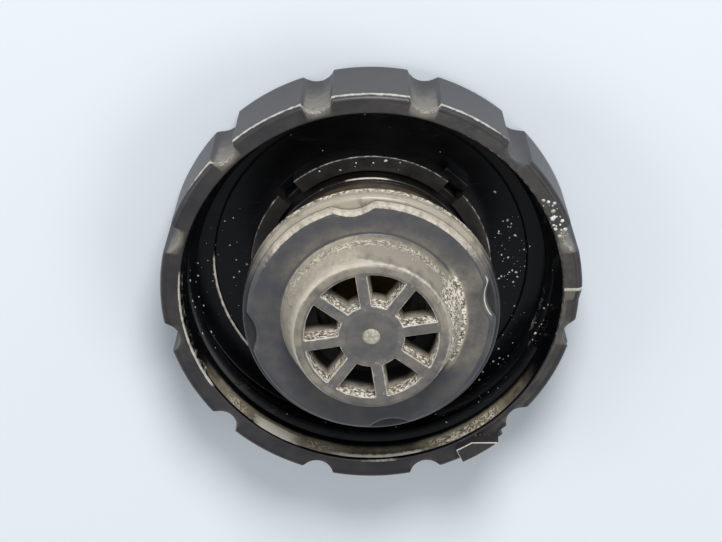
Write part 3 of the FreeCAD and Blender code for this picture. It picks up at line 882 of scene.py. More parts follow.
class RuleTree:
    """Base of the geometry node trees, with named inputs that are set on a modifier."""

    title = "rule"
    inputs: tuple[tuple[str, str], ...] = ()

    @classmethod
    def tree(cls) -> bpy.types.NodeTree:
        """Returns the tree, which is built on first use.

        Returns:
            The tree.
        """
        found = bpy.data.node_groups.get(cls.title)
        if found:
            return found
        tree = bpy.data.node_groups.new(cls.title, "GeometryNodeTree")
        tree.interface.new_socket("Geometry", in_out="INPUT", socket_type="NodeSocketGeometry")
        for name, kind in cls.inputs:
            tree.interface.new_socket(name, in_out="INPUT", socket_type=kind)
        tree.interface.new_socket("Material", in_out="INPUT", socket_type="NodeSocketMaterial")
        tree.interface.new_socket("Geometry", in_out="OUTPUT", socket_type="NodeSocketGeometry")
        writer = NodeWriter(tree)
        given = {s.name: s for s in writer.add("NodeGroupInput").outputs if s.name}
        made = cls.write(writer, given)
        whole = writer.add("GeometryNodeRealizeInstances", {"Geometry": made}).outputs[0]
        dressed = writer.add("GeometryNodeSetMaterial", {"Geometry": whole, "Material": given["Material"]})
        writer.add("NodeGroupOutput", {"Geometry": dressed.outputs[0]})
        return tree

    @classmethod
    def write(cls, writer: NodeWriter, given: dict[str, Socket]) -> Socket:
        """Writes the rule's nodes.

        Args:
            writer: Writes into the tree.
            given: The tree's inputs by name.

        Returns:
            The socket of the made geometry.
        """
        raise NotImplementedError

    @classmethod
    def apply(cls, thing: bpy.types.Object, material: bpy.types.Material, **values: object) -> bpy.types.Object:
        """Runs the tree on an object and keeps the result as plain mesh.

        Args:
            thing: The object.
            material: The material of what the tree makes.
            **values: Inputs by name, with underscores for spaces.

        Returns:
            The same object, with its new mesh.
        """
        modifier = thing.modifiers.new(cls.title, "NODES")
        modifier.node_group = cls.tree()
        for item in modifier.node_group.interface.items_tree:
            if item.in_out != "INPUT" or item.name == "Geometry":
                continue
            key = item.name.replace(" ", "_")
            modifier[item.identifier] = material if item.name == "Material" else values[key]
        MeshKit.plain(thing)
        return thing


class RoundRepeat(RuleTree):
    """Copies a piece evenly round the Z axis and welds copies that touch."""

    title = "round_repeat"
    inputs = (("Count", "NodeSocketInt"), ("First Angle", "NodeSocketFloat"), ("Weld", "NodeSocketFloat"))

    @classmethod
    def write(cls, writer: NodeWriter, given: dict[str, Socket]) -> Socket:
        """Writes a point for each copy and turns the copies by their number.

        Args:
            writer: Writes into the tree.
            given: The tree's inputs by name.

        Returns:
            The socket of the welded copies.
        """
        points = writer.add("GeometryNodeMeshLine", {"Count": given["Count"], "Offset": (0.0, 0.0, 0.0)})
        number = writer.add("GeometryNodeInputIndex").outputs[0]
        step = writer.math("DIVIDE", 2 * math.pi, given["Count"])
        angle = writer.math("ADD", writer.math("MULTIPLY", number, step), given["First Angle"])
        turn = writer.add("ShaderNodeCombineXYZ", {"Z": angle}).outputs[0]
        copies = writer.add("GeometryNodeInstanceOnPoints", {
            "Points": points.outputs[0], "Instance": given["Geometry"], "Rotation": turn})
        whole = writer.add("GeometryNodeRealizeInstances", {"Geometry": copies.outputs[0]})
        welded = writer.add("GeometryNodeMergeByDistance", {
            "Geometry": whole.outputs[0], "Distance": given["Weld"]})
        return welded.outputs[0]


class WoundRidge(RuleTree):
    """A rounded trapezoid ridge that winds up a wall and fades out at both ends."""

    title = "wound_ridge"
    inputs = (
        ("Radius", "NodeSocketFloat"),
        ("Turn", "NodeSocketFloat"),
        ("Rise", "NodeSocketFloat"),
        ("Start Angle", "NodeSocketFloat"),
        ("Start Level", "NodeSocketFloat"),
        ("Foot Width", "NodeSocketFloat"),
        ("Crest Width", "NodeSocketFloat"),
        ("Depth", "NodeSocketFloat"),
        ("Edge Round", "NodeSocketFloat"),
    )

    @classmethod
    def write(cls, writer: NodeWriter, given: dict[str, Socket]) -> Socket:
        """Writes the helix, the section and the sweep.

        Args:
            writer: Writes into the tree.
            given: The tree's inputs by name.

        Returns:
            The socket of the ridge.
        """
        steps = 300
        line = writer.add("GeometryNodeMeshLine", {"Count": steps, "Offset": (0.0, 0.0, 0.0)}).outputs[0]
        along = writer.math("DIVIDE", writer.add("GeometryNodeInputIndex").outputs[0], steps - 1.0)
        angle = writer.math("MULTIPLY_ADD", along, given["Turn"], given["Start Angle"])
        spot = writer.add("ShaderNodeCombineXYZ", {
            "X": writer.math("MULTIPLY", writer.math("COSINE", angle), given["Radius"]),
            "Y": writer.math("MULTIPLY", writer.math("SINE", angle), given["Radius"]),
            "Z": writer.math("MULTIPLY_ADD", along, given["Rise"], given["Start Level"])}).outputs[0]
        wound = writer.add("GeometryNodeSetPosition", {"Geometry": line, "Position": spot}).outputs[0]
        helix = writer.add("GeometryNodeMeshToCurve", {"Mesh": wound}).outputs[0]
        upright = writer.add("GeometryNodeSetCurveNormal", {"Curve": helix}, mode="Z_UP").outputs[0]
        share = writer.add("GeometryNodeSplineParameter").outputs["Factor"]
        from_end = writer.math("MINIMUM", share, writer.math("SUBTRACT", 1.0, share))
        fade = writer.ramp(from_end, 0.0, 0.03, 0.35, 1.0)
        faded = writer.add("GeometryNodeSetCurveRadius", {"Curve": upright, "Radius": fade}).outputs[0]
        quad = writer.add("GeometryNodeCurvePrimitiveQuadrilateral", {
            "Height": given["Depth"], "Bottom Width": given["Foot Width"], "Top Width": given["Crest Width"],
            "Offset": 0.0}, mode="TRAPEZOID").outputs[0]
        eased = writer.add("GeometryNodeFilletCurve", {"Curve": quad, "Radius": given["Edge Round"], "Count": 3},
                           mode="POLY").outputs[0]
        facing = writer.add("GeometryNodeTransform", {"Geometry": eased,
                                                      "Rotation": (0.0, 0.0, math.pi / 2)}).outputs[0]
        swept = writer.add("GeometryNodeCurveToMesh", {"Curve": faded, "Profile Curve": facing,
                                                       "Fill Caps": True}).outputs[0]
        return writer.add("GeometryNodeSetShadeSmooth", {"Geometry": swept, "Shade Smooth": True}).outputs[0]


class CrumbScatter(RuleTree):
    """Grains of random size strewn over a surface where its dust attribute allows them."""

    title = "crumb_scatter"
    inputs = (
        ("Density", "NodeSocketFloat"),
        ("Smallest", "NodeSocketFloat"),
        ("Largest", "NodeSocketFloat"),
        ("Flatness", "NodeSocketFloat"),
        ("Seed", "NodeSocketInt"),
    )

    @classmethod
    def write(cls, writer: NodeWriter, given: dict[str, Socket]) -> Socket:
        """Writes the scatter and the grain that it copies.

        Args:
            writer: Writes into the tree.
            given: The tree's inputs by name.

        Returns:
            The socket of the strewn grains.
        """
        dust = writer.add("GeometryNodeInputNamedAttribute", {"Name": "dust"}, data_type="FLOAT").outputs[0]
        density = writer.math("MULTIPLY", dust, given["Density"])
        spread = writer.add("GeometryNodeDistributePointsOnFaces", {
            "Mesh": given["Geometry"], "Density": density, "Seed": given["Seed"]})
        grain = writer.add("GeometryNodeMeshIcoSphere", {"Radius": 0.5, "Subdivisions": 1}).outputs[0]
        pick = writer.add("FunctionNodeRandomValue", {2: 0.0, 3: 1.0, "Seed": given["Seed"]}, data_type="FLOAT")
        skewed = writer.math("POWER", pick.outputs[1], 2.2)
        span = writer.math("SUBTRACT", given["Largest"], given["Smallest"])
        size = writer.math("MULTIPLY_ADD", skewed, span, given["Smallest"])
        stretch = writer.add("FunctionNodeRandomValue", {2: 0.7, 3: 1.5, "Seed": 5},
                             data_type="FLOAT").outputs[1]
        scale = writer.add("ShaderNodeCombineXYZ", {
            "X": writer.math("MULTIPLY", size, stretch), "Y": size,
            "Z": writer.math("MULTIPLY", size, given["Flatness"])}).outputs[0]
        copies = writer.add("GeometryNodeInstanceOnPoints", {
            "Points": spread.outputs["Points"], "Instance": grain, "Rotation": spread.outputs["Rotation"],
            "Scale": scale}).outputs[0]
        spin = writer.add("FunctionNodeRandomValue", {2: 0.0, 3: 2 * math.pi, "Seed": 9}, data_type="FLOAT")
        about = writer.add("ShaderNodeCombineXYZ", {"Z": spin.outputs[1]}).outputs[0]
        turned = writer.add("GeometryNodeRotateInstances", {"Instances": copies, "Rotation": about}).outputs[0]
        whole = writer.add("GeometryNodeRealizeInstances", {"Geometry": turned}).outputs[0]
        return writer.add("GeometryNodeSetShadeSmooth", {"Geometry": whole, "Shade Smooth": True}).outputs[0]


# The cap


@dataclass(frozen=True)
class CapMoulding:
    """Crown, grooved skirt, stepped rim, cavity, thread, lug and collar of the cap.

    Attributes:
        finishes: The finishes.
        rim_radius: Radius over the lobes at the rim.
        crown_radius: Radius that the drafted skirt would have at the closed face.
        height: Height of the skirt.
        crown_round: Rounding of the closed face.
        rim_round: Rounding of the rim's outer edge.
        mouth_radius: Inner radius of the rim.
        wall_radius: Radius of the cavity's wall.
        leadin_depth: Depth of the lead-in cone.
        land_radius: Inner radius of the land on the floor.
        floor_level: Height of the cavity's floor.
        land_height: Height of the land over the floor.
        recess_radius: Radius of the shallow recess in the closed face.
        recess_depth: Its depth.
        groove_count: Number of grip grooves.
        groove_radius: Radius of the grooves.
        groove_depth: Their depth.
        groove_ease: Width of the rounding where a groove meets a lobe.
        step_depth: Drop of the stepped stretch of the rim.
        step_ramp: Length of its ramp.
        step_offset: Start of the ramp, from the X axis.
        step_inset: How far the stepped lobes stand in.
        lug_face_offset: Distance of the lug's square face from the X axis.
        lug_end_angle: Angle of its other end.
        lug_inner_radius: Inner radius of the lug.
        lug_outer_radius: Outer radius of the lug.
        lug_height: Height of the lug over the rim.
        collar_radius: Outer radius of the snap collar.
        collar_bore: Its bore below the lip.
        lip_bore: Its bore at the lip.
        lip_under: Height of the lip's underside.
        collar_top: Height of the collar's top.
        slot_width: Width of the slots between its segments.
        mouth_round: Rounding of the rim's inner edge.
        thread_depth: Depth of the thread's ridge.
        thread_pitch: Its pitch.
        thread_rise: How far it climbs in all.
        thread_start: Angle at which it starts.
        thread_level: Height at which it starts.
        thread_foot: Width of its foot.
        thread_crest: Width of its crest.
    """

    finishes: Finishes
    rim_radius: float = 35.0
    crown_radius: float = 33.4
    height: float = 16.5
    crown_round: float = 2.0
    rim_round: float = 1.1
    mouth_radius: float = 31.65
    wall_radius: float = 30.4
    leadin_depth: float = 3.6
    land_radius: float = 26.0
    floor_level: float = 3.5
    land_height: float = 0.6
    recess_radius: float = 24.0
    recess_depth: float = 0.5
    groove_count: int = 12
    groove_radius: float = 2.8
    groove_depth: float = 2.0
    groove_ease: float = 0.3
    step_depth: float = 1.0
    step_ramp: float = 2.6
    step_offset: float = 0.3
    step_inset: float = 0.4
    lug_face_offset: float = 27.2
    lug_end_angle: float = 63.9
    lug_inner_radius: float = 31.9
    lug_outer_radius: float = 34.5
    lug_height: float = 2.4
    collar_radius: float = 20.0
    collar_bore: float = 18.5
    lip_bore: float = 17.2
    lip_under: float = 6.1
    collar_top: float = 7.5
    slot_width: float = 3.3
    mouth_round: float = 0.25
    thread_depth: float = 1.4
    thread_pitch: float = 5.0
    thread_rise: float = 5.6
    thread_start: float = 292.0
    thread_level: float = 5.9
    thread_foot: float = 3.1
    thread_crest: float = 1.2

    def columns(self) -> np.ndarray:
        """Angles of the shell's columns, closer together at the grooves' edges.

        Returns:
            The angles in radians, in rising order.
        """
        step = 2 * math.pi / self.groove_count
        edge = math.asin(math.sqrt(self.groove_radius**2 - 0.64) / self.rim_radius)
        even = np.linspace(0, step, 64, endpoint=False)
        lows = np.linspace(step / 2 - edge * 1.25, step / 2 - edge * 0.7, 14)
        highs = np.linspace(step / 2 + edge * 0.7, step / 2 + edge * 1.25, 14)
        one = np.unique(np.round(np.concatenate([even, lows, highs]), 6))
        one = one[np.concatenate([[True], np.diff(one) > 0.0008])]
        every = np.concatenate([one + step * number for number in range(self.groove_count)])
        at_step = np.mod(np.radians(np.linspace(-6.0, 0.6, 45)), 2 * math.pi)
        at_lug = np.mod(np.radians(np.linspace(-60.5, -50.0, 120)), 2 * math.pi)
        every = np.unique(np.round(np.concatenate([every, at_step, at_lug]), 6))
        return every[np.concatenate([[True], np.diff(every) > 0.0008])]

    def cone(self, level: float | np.ndarray) -> float | np.ndarray:
        """Radius of the drafted skirt over its lobes at a height."""
        return self.crown_radius + (self.rim_radius - self.crown_radius) * level / self.height

    def reach(self, phi: np.ndarray, level: float) -> np.ndarray:
        """Distance from the axis at which the grip grooves begin at a height."""
        centre = self.cone(level) + self.groove_radius - self.groove_depth
        return groove_reach(phi, self.groove_count, centre, self.groove_radius)

    def outline(self, phi: np.ndarray, level: float, inset: float = 0.0) -> np.ndarray:
        """Outer radius of the skirt at a height, grooves included.

        Args:
            phi: Angles in radians.
            level: The height.
            inset: How far the lobes stand in there.

        Returns:
            The radius at each angle.
        """
        lobes = np.full_like(phi, self.cone(level) - inset)
        return soft_min(lobes, self.reach(phi, level), self.groove_ease)

    def step_share(self, phi: np.ndarray, radius: np.ndarray) -> np.ndarray:
        """How far each point of the rim is into the stepped stretch.

        Args:
            phi: Angles in radians.
            radius: Radius at each of them.

        Returns:
            From 0 before the ramp to 1 behind it.
        """
        across, down = radius * np.cos(phi), -radius * np.sin(phi)
        ramp = np.clip((down - self.step_offset) / self.step_ramp, 0, 1)
        return ramp * (across > 0) * (down < self.lug_face_offset)

    def step_edge_highlight(self, phi: np.ndarray, radius: np.ndarray) -> np.ndarray:
        """Weight of the painted highlight along the top edge of the step's ramp, from 0 to 1."""
        down = -radius * np.sin(phi)
        return np.exp(-(((down - self.step_offset) / 0.34) ** 2)) * (np.cos(phi) > 0.5)

    def shell(self) -> bpy.types.Object:
        """Builds the crown, skirt, rim and cavity as one closed shell.

        Returns:
            The piece.
        """
        phi = self.columns()
        stack = RingStack(phi)
        row = stack.add
        near_groove = self.reach(phi, self.height) - self.rim_radius
        edge_wear = np.exp(-((near_groove / 0.4) ** 2))
        in_groove = 1 - smooth_step(-1.2, -0.2, near_groove)
        dished = in_groove * (0.14 + 0.55 * arc_weight(phi, 118, 45, 12) + 0.6 * arc_weight(phi, 15, 10, 6))
        bright_left = arc_weight(phi, 194, 17)
        # Painted highlight on the rim's edges along the top stretch, where the light falls.
        painted_top_highlight = arc_weight(phi, 100, 42, 14)

        recess = self.recess_radius
        for radius in (20.0, recess - 0.4):
            row(radius, self.recess_depth)
        row(recess - 0.1, self.recess_depth - 0.05)
        row(recess + 0.15, self.recess_depth / 2)
        row(recess + 0.4, 0.05)
        row(recess + 0.6, 0.0)
        row(28.0, 0.0)
        for number in range(8):
            angle = math.pi / 2 * number / 7
            level = self.crown_round * (1 - math.cos(angle))
            nominal = self.cone(level) - self.crown_round * (1 - math.sin(angle))
            cut = soft_min(np.full_like(phi, nominal), self.reach(phi, level), self.groove_ease)
            row(cut, level, 0.25 * math.sin(angle * 2))
        start, end = self.crown_round, self.height - self.rim_round
        for share in (0.06, 0.2, 0.35, 0.5, 0.62, 0.72, 0.8, 0.86, 0.92, 0.97):
            level = start + (end - start) * share
            nominal = self.outline(phi, level)
            risen = float(smooth_step(12.8, 13.6, np.array(level)))
            inset = self.step_inset * self.step_share(phi, nominal) * risen
            drop = self.step_depth * self.step_share(phi, nominal) * max(level - 12.5, 0) / (end - 12.5)
            worn_and_painted_highlight = edge_wear * (0.1 + 0.35 * share**3) + 0.5 * painted_top_highlight * (1 - in_groove) * share**30
            row(nominal - inset, level - drop, np.maximum(worn_and_painted_highlight, 0.4 * dished * share), dished * share**1.3)
        for number in range(9):
            angle = math.pi / 2 * number / 8
            level = end + self.rim_round * math.sin(angle)
            into = self.step_share(phi, self.outline(phi, level))
            back = 1 - math.cos(angle)
            lobes = self.cone(level) - self.step_inset * into - self.rim_round * back
            radius = soft_min(lobes, self.reach(phi, level) - 0.25 * back, self.groove_ease)
            crest = math.exp(-(((number / 8 - 0.18) / 0.27) ** 2))
            worn_and_painted_highlight = 0.3 + 0.46 * painted_top_highlight + 0.2 * edge_wear * (1 - in_groove)
            # Painted highlight along the top edge of the step's ramp.
            step_edge_highlight = self.step_edge_highlight(phi, radius)
            worn_and_painted_highlight = np.maximum(crest * worn_and_painted_highlight, 0.4 * dished)
            row(radius, level - self.step_depth * into, np.maximum(worn_and_painted_highlight, 1.3 * step_edge_highlight), dished)
        outer = stack.rows[-1][0]
        for share in (0.04, 0.15, 0.35, 0.55, 0.75, 0.9, 0.97):
            radius = outer + (self.mouth_radius + self.mouth_round - outer) * share
            into = self.step_share(phi, radius) * float(1 - smooth_step(0.7, 1.0, np.array(share)))
            worn_and_painted_highlight = 0.2 * math.exp(-share / 0.06) * (1 - 0.5 * in_groove) + 0.08 + 0.3 * dished * (1 - share)
            worn_and_painted_highlight = worn_and_painted_highlight + bright_left * 0.5 * share**12
            # Painted highlight along the top edge of the step's ramp.
            step_edge_highlight = self.step_edge_highlight(phi, radius)
            ramp = smooth_step(0.0, 0.3, into) * (1 - smooth_step(0.8, 1.0, into))
            dirt = 0.05 + 0.08 * arc_weight(phi, 15, 60, 20) + 0.7 * dished * (1 - share) + 0.36 * ramp
            row(radius, self.height - self.step_depth * into, np.maximum(worn_and_painted_highlight, 1.3 * step_edge_highlight), dirt)
        # The mouth's rounding: worn pale on the left, a painted highlight near -88 degrees, pale near 25
        # degrees.
        for angle in (0.0, 30.0, 60.0, 90.0):
            lean = math.radians(angle)
            row(self.mouth_radius + self.mouth_round * (1 - math.sin(lean)),
                self.height - self.mouth_round * (1 - math.cos(lean)),
                0.7 * bright_left + 0.55 * arc_weight(phi, -88, 4, 4) + 0.4 * arc_weight(phi, 25, 40, 20))
        leadin = fillet_path([
            (self.mouth_radius, self.height - self.mouth_round, 0),
            (self.wall_radius, self.height - self.leadin_depth, 0.4),
            (self.wall_radius, self.floor_level + self.land_height, 0.4),
            (self.land_radius, self.floor_level + self.land_height, 0.2),
            (self.land_radius, self.floor_level, 0.2), (24.0, self.floor_level, 0)], 4)
        # Residue film on the lead-in band, which also paints the band's lit bronze sheen, heaviest near -121
        # degrees.
        film_and_painted_sheen = 0.28 * arc_weight(phi, -92, 52, 14) + 0.46 * arc_weight(phi, -121, 14, 14)
        film_and_painted_sheen = film_and_painted_sheen + 0.5 * arc_weight(phi, -60, 10, 8)
        # Where the painted highlight under the lip lies.
        lip = arc_weight(phi, -88, 10, 12)
        flaked = arc_weight(phi, 200, 18)
        cone = along(leadin[:2], (0.05, 0.1, 0.16, 0.24, 0.36, 0.5, 0.64, 0.78, 0.9, 1.0), 1.2)
        for at, up in cone + along(leadin[1:], (0.05, 0.9, 1.0), 1.2):
            below_lip = float(up < self.height - 0.6)
            high = float(smooth_step(13.0, 14.2, np.array(up))) * below_lip
            # Painted highlights: a pale streak on the lead-in band near -121 degrees and a pale line under the
            # lip near -88 degrees.
            leadin_highlight = 1.15 * arc_weight(phi, -121, 0, 15) * float(13.8 < up < 15.95)
            lip_highlight = 0.9 * lip * float(smooth_step(14.4, 15.7, np.array(up))) * below_lip
            land_edge = flaked * (at < self.land_radius + 0.25) * (up > self.floor_level + 0.3)
            worn_and_painted_highlight = bright_left * 0.4 * float(up > 15.0) + 0.75 * land_edge + leadin_highlight + lip_highlight
            row(at, up, worn_and_painted_highlight, film_and_painted_sheen * high * (1 - np.minimum(leadin_highlight + 0.8 * lip_highlight, 1)))
        for radius in (21.5, 5.0):
            row(radius, self.floor_level)
        mesh = stack.mesh("cap_shell", Ends.FANNED)
        made = MeshKit.link("cap_shell", mesh, self.finishes.cap)
        self.dress_cavity(made)
        return made

    def dress_cavity(self, made: bpy.types.Object) -> None:
        """Gives the faces inside the mouth the glossier, near-black finish that paints the shade of the deep
        cavity.

        Args:
            made: The shell.
        """
        mesh = made.data
        mesh.materials.append(self.finishes.cavity)
        count = len(mesh.polygons)
        centres = np.empty(count * 3, np.float32)
        normals = np.empty(count * 3, np.float32)
        mesh.polygons.foreach_get("center", centres)
        mesh.polygons.foreach_get("normal", normals)
        centres, normals = centres.reshape(-1, 3) / MM, normals.reshape(-1, 3)
        radius = np.hypot(centres[:, 0], centres[:, 1])
        inside = (radius < self.mouth_radius + 0.01) & (centres[:, 2] > self.recess_depth + 1)
        mesh.polygons.foreach_set("material_index", inside.astype(np.int32))

    def lug(self) -> bpy.types.Object:
        """Builds the stop lug with its square face and its radial end.

        Returns:
            The piece.
        """
        face, end = self.lug_face_offset, math.radians(-self.lug_end_angle)
        inner, outer = self.lug_inner_radius, self.lug_outer_radius

        def side(radius: float, count: int) -> list[tuple[float, float]]:
            """Points along one curved side, from the square face to the radial end."""
            start = -math.asin(face / radius)
            angles = np.linspace(start, end, count)
            return [(radius * math.cos(angle), radius * math.sin(angle)) for angle in angles]

        plan = side(outer, 9)[::-1] + side(inner, 9)
        count = len(plan)
        base, top = self.height - self.step_depth - 1.5, self.height + self.lug_height
        points = [(x, y, base) for x, y in plan] + [(x, y, top) for x, y in plan]
        faces = [[i, (i + 1) % count, (i + 1) % count + count, i + count] for i in range(count)]
        faces += [list(range(count))[::-1], list(range(count, 2 * count))]
        mesh = bpy.data.meshes.new("stop_lug")
        mesh.from_pydata([tuple(c * MM for c in point) for point in points], [], faces)
        made = MeshKit.link("stop_lug", mesh, self.finishes.cap)
        bevel = made.modifiers.new("edges", "BEVEL")
        bevel.width, bevel.segments, bevel.limit_method = 0.22 * MM, 3, "ANGLE"
        bevel.angle_limit = math.radians(40)
        MeshKit.plain(made)
        levels = top - np.array([v.co.z for v in made.data.vertices]) / MM
        MeshKit.attribute(made.data, "rub", ((levels > 0.01) & (levels < 0.2)) * 0.95)
        made.data.shade_smooth()
        made.data.set_sharp_from_angle(angle=math.radians(38))
        return made

    def thread(self) -> bpy.types.Object:
        """Builds the ridge of the thread.

        Returns:
            The piece.
        """
        made = MeshKit.link("neck_thread_ridge", bpy.data.meshes.new("ridge"), self.finishes.cavity)
        sunk = 0.3
        depth = self.thread_depth + sunk
        WoundRidge.apply(
            made, self.finishes.cavity, Radius=(self.wall_radius + sunk - depth / 2) * MM,
            Turn=2 * math.pi * self.thread_rise / self.thread_pitch, Rise=self.thread_rise * MM,
            Start_Angle=math.radians(self.thread_start), Start_Level=self.thread_level * MM,
            Foot_Width=self.thread_foot * MM, Crest_Width=self.thread_crest * MM,
            Depth=depth * MM, Edge_Round=0.25 * MM)
        radius, phi, _ = MeshKit.polar(made.data)
        crest = radius < self.wall_radius - 1.0
        # Painted highlight on the crest at two stretches on the right.
        worn_and_painted_highlight = 0.36 * arc_weight(phi, -15, 6, 7) + 0.24 * arc_weight(phi, -34, 8, 10)
        MeshKit.attribute(made.data, "rub", crest * worn_and_painted_highlight)
        return made

    def collar(self) -> bpy.types.Object:
        """Builds the four springy segments of the snap collar.

        Returns:
            The piece.
        """
        half = math.radians(45) - math.asin(self.slot_width / 2 / self.collar_bore)
        floor, top = self.floor_level - 0.2, self.collar_top
        profile = fillet_path([
            (self.collar_bore, floor, 0), (self.collar_bore, self.lip_under, 0.15),
            (self.lip_bore, self.lip_under, 0.25), (self.lip_bore, top, 0.3),
            (self.collar_radius, top, 0.3), (self.collar_radius, floor, 0)], 4)[::-1]
        section = np.array(profile)
        phi = np.linspace(-half, half, 60)
        across, along = section[:, :1] * np.cos(phi), section[:, :1] * np.sin(phi)
        rings = np.stack([across, along, np.repeat(section[:, 1:], len(phi), axis=1)], axis=-1)
        count, columns = rings.shape[:2]
        ids = np.arange(count * columns).reshape(count, columns)
        faces = [[int(ids[r, c]), int(ids[r, c + 1]), int(ids[(r + 1) % count, c + 1]),
                  int(ids[(r + 1) % count, c])] for r in range(count) for c in range(columns - 1)]
        faces += [ids[:, 0].tolist(), ids[::-1, -1].tolist()]
        mesh = bpy.data.meshes.new("collar_segment")
        mesh.from_pydata((rings.reshape(-1, 3) * MM).tolist(), [], faces)
        made = MeshKit.link("collar_segments", mesh, self.finishes.collar)
        RoundRepeat.apply(made, self.finishes.collar, Count=4, First_Angle=0.0, Weld=0.0)
        radius, _, levels = MeshKit.polar(made.data)
        outside = np.clip(radius - self.collar_radius + 0.3, 0, 0.3) / 0.3
        upper = np.clip((levels - top + 0.3) / 0.3, 0, 1)
        MeshKit.attribute(made.data, "rub", outside * upper * 1.1)
        MeshKit.attribute(made.data, "crust", upper * 0.1)
        made.data.set_sharp_from_angle(angle=math.radians(38))
        return made

    def collar_root(self) -> bpy.types.Object:
        """Builds the low ring that joins the collar's segments at the floor.

        Returns:
            The piece.
        """
        top = self.floor_level + 0.4
        inner, outer = self.collar_bore + 0.02, self.collar_radius - 0.02
        profile = fillet_path([(outer, self.floor_level - 0.2, 0), (outer, top, 0.1), (inner, top, 0.1),
                               (inner, self.floor_level - 0.2, 0)], 3)
        mesh = MeshKit.turned("collar_root", profile, 128)
        return MeshKit.link("collar_root", mesh, self.finishes.cavity)

    def collar_bridge(self) -> bpy.types.Object:
        """Builds the block that bridges one slot behind the collar.

        Returns:
            The piece.
        """
        inner, outer = self.collar_radius - 0.6, self.collar_radius + 1.2
        side, low, high = 2.5, self.floor_level - 0.2, self.floor_level + 2.4
        mesh = MeshKit.block("collar_bridge", (inner, -side, low), (outer, side, high))
        MeshKit.turn(mesh, 47.0)
        made = MeshKit.link("collar_bridge", mesh, self.finishes.cavity)
        bevel = made.modifiers.new("edges", "BEVEL")
        bevel.width, bevel.segments = 0.18 * MM, 3
        MeshKit.plain(made)
        made.data.shade_smooth()
        made.data.set_sharp_from_angle(angle=math.radians(38))
        return made

    def specks(self) -> bpy.types.Object:
        """Strews flecks of dried coolant over the floor and the wall of the cavity.

        Returns:
            The flecks.
        """
        profile = [(28.6, 12.2), (30.0, 12.0), (30.2, 6.0), (29.0, 4.15), (26.3, 4.12), (25.6, 3.52),
                   (20.6, 3.52)]
        mesh = MeshKit.turned("speck_host", profile, 96, Ends.OPEN)
        radius, phi, _ = MeshKit.polar(mesh)
        right = arc_weight(phi, -42, 18, 16)
        near = arc_weight(phi, 2, 12, 8) * (radius < 26)
        left = arc_weight(phi, 186, 14, 10)
        dust = 0.04 + right + 2.4 * near + 0.6 * left
        return self.strewn("cavity_specks", mesh, dust, Density=0.34e6, Smallest=0.07 * MM, Largest=0.5 * MM,
                           Flatness=0.4, Seed=11)

    def ticks(self) -> bpy.types.Object:
        """Strews a few bright grains over the collar's top.

        Returns:
            The grains.
        """
        top = self.collar_top - 0.02
        profile = [(self.lip_bore + 0.4, top), (self.collar_radius - 0.4, top)]
        mesh = MeshKit.turned("tick_host", profile[::-1], 180, Ends.OPEN)
        _, phi, _ = MeshKit.polar(mesh)
        dust = arc_weight(phi, 94, 22, 6) * (np.abs(np.mod(np.degrees(phi), 90) - 45) > 6)
        return self.strewn("collar_ticks", mesh, dust, Density=0.4e6, Smallest=0.12 * MM, Largest=0.55 * MM,
                           Flatness=0.4, Seed=7)

    def chips(self) -> bpy.types.Object:
        """Strews a few pale chips over the rim beside the upper right groove.

        Returns:
            The chips.
        """
        top = self.height - 0.02
        profile = [(self.mouth_radius + 0.3, top), (33.0, top), (self.rim_radius - 1.1, top)]
        mesh = MeshKit.turned("chip_host", profile[::-1], 180, Ends.OPEN)
        _, phi, _ = MeshKit.polar(mesh)
        dust = arc_weight(phi, 22.5, 5.5, 2)
        return self.strewn("rim_chips", mesh, dust, Density=2.3e6, Smallest=0.16 * MM, Largest=0.9 * MM,
                           Flatness=0.3, Seed=3)

    def strewn(self, name: str, mesh: bpy.types.Mesh, dust: np.ndarray, **settings: float) -> bpy.types.Object:
        """Strews pale grains over a host surface that is not kept.

        Args:
            name: The piece's name.
            mesh: The host surface.
            dust: How thickly the grains lie at each of its points.
            **settings: Inputs of the scatter by name.

        Returns:
            The grains.
        """
        MeshKit.attribute(mesh, "dust", dust)
        made = MeshKit.link(name, mesh, self.finishes.flecks)
        return CrumbScatter.apply(made, self.finishes.flecks, **settings)

    def build(self) -> list[bpy.types.Object]:
        """Builds every piece of the cap and lets it ride on its body.

        Returns:
            The pieces.
        """
        shell, collar = self.shell(), self.collar()
        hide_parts("grip_cap")
        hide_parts("snap_collar")
        made = [shell, self.lug(), self.thread(), collar, self.collar_root(), self.collar_bridge(),
                self.specks(), self.ticks(), self.chips()]
        for piece in made:
            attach(piece, Body.CAP.value)
        return made


# The plug


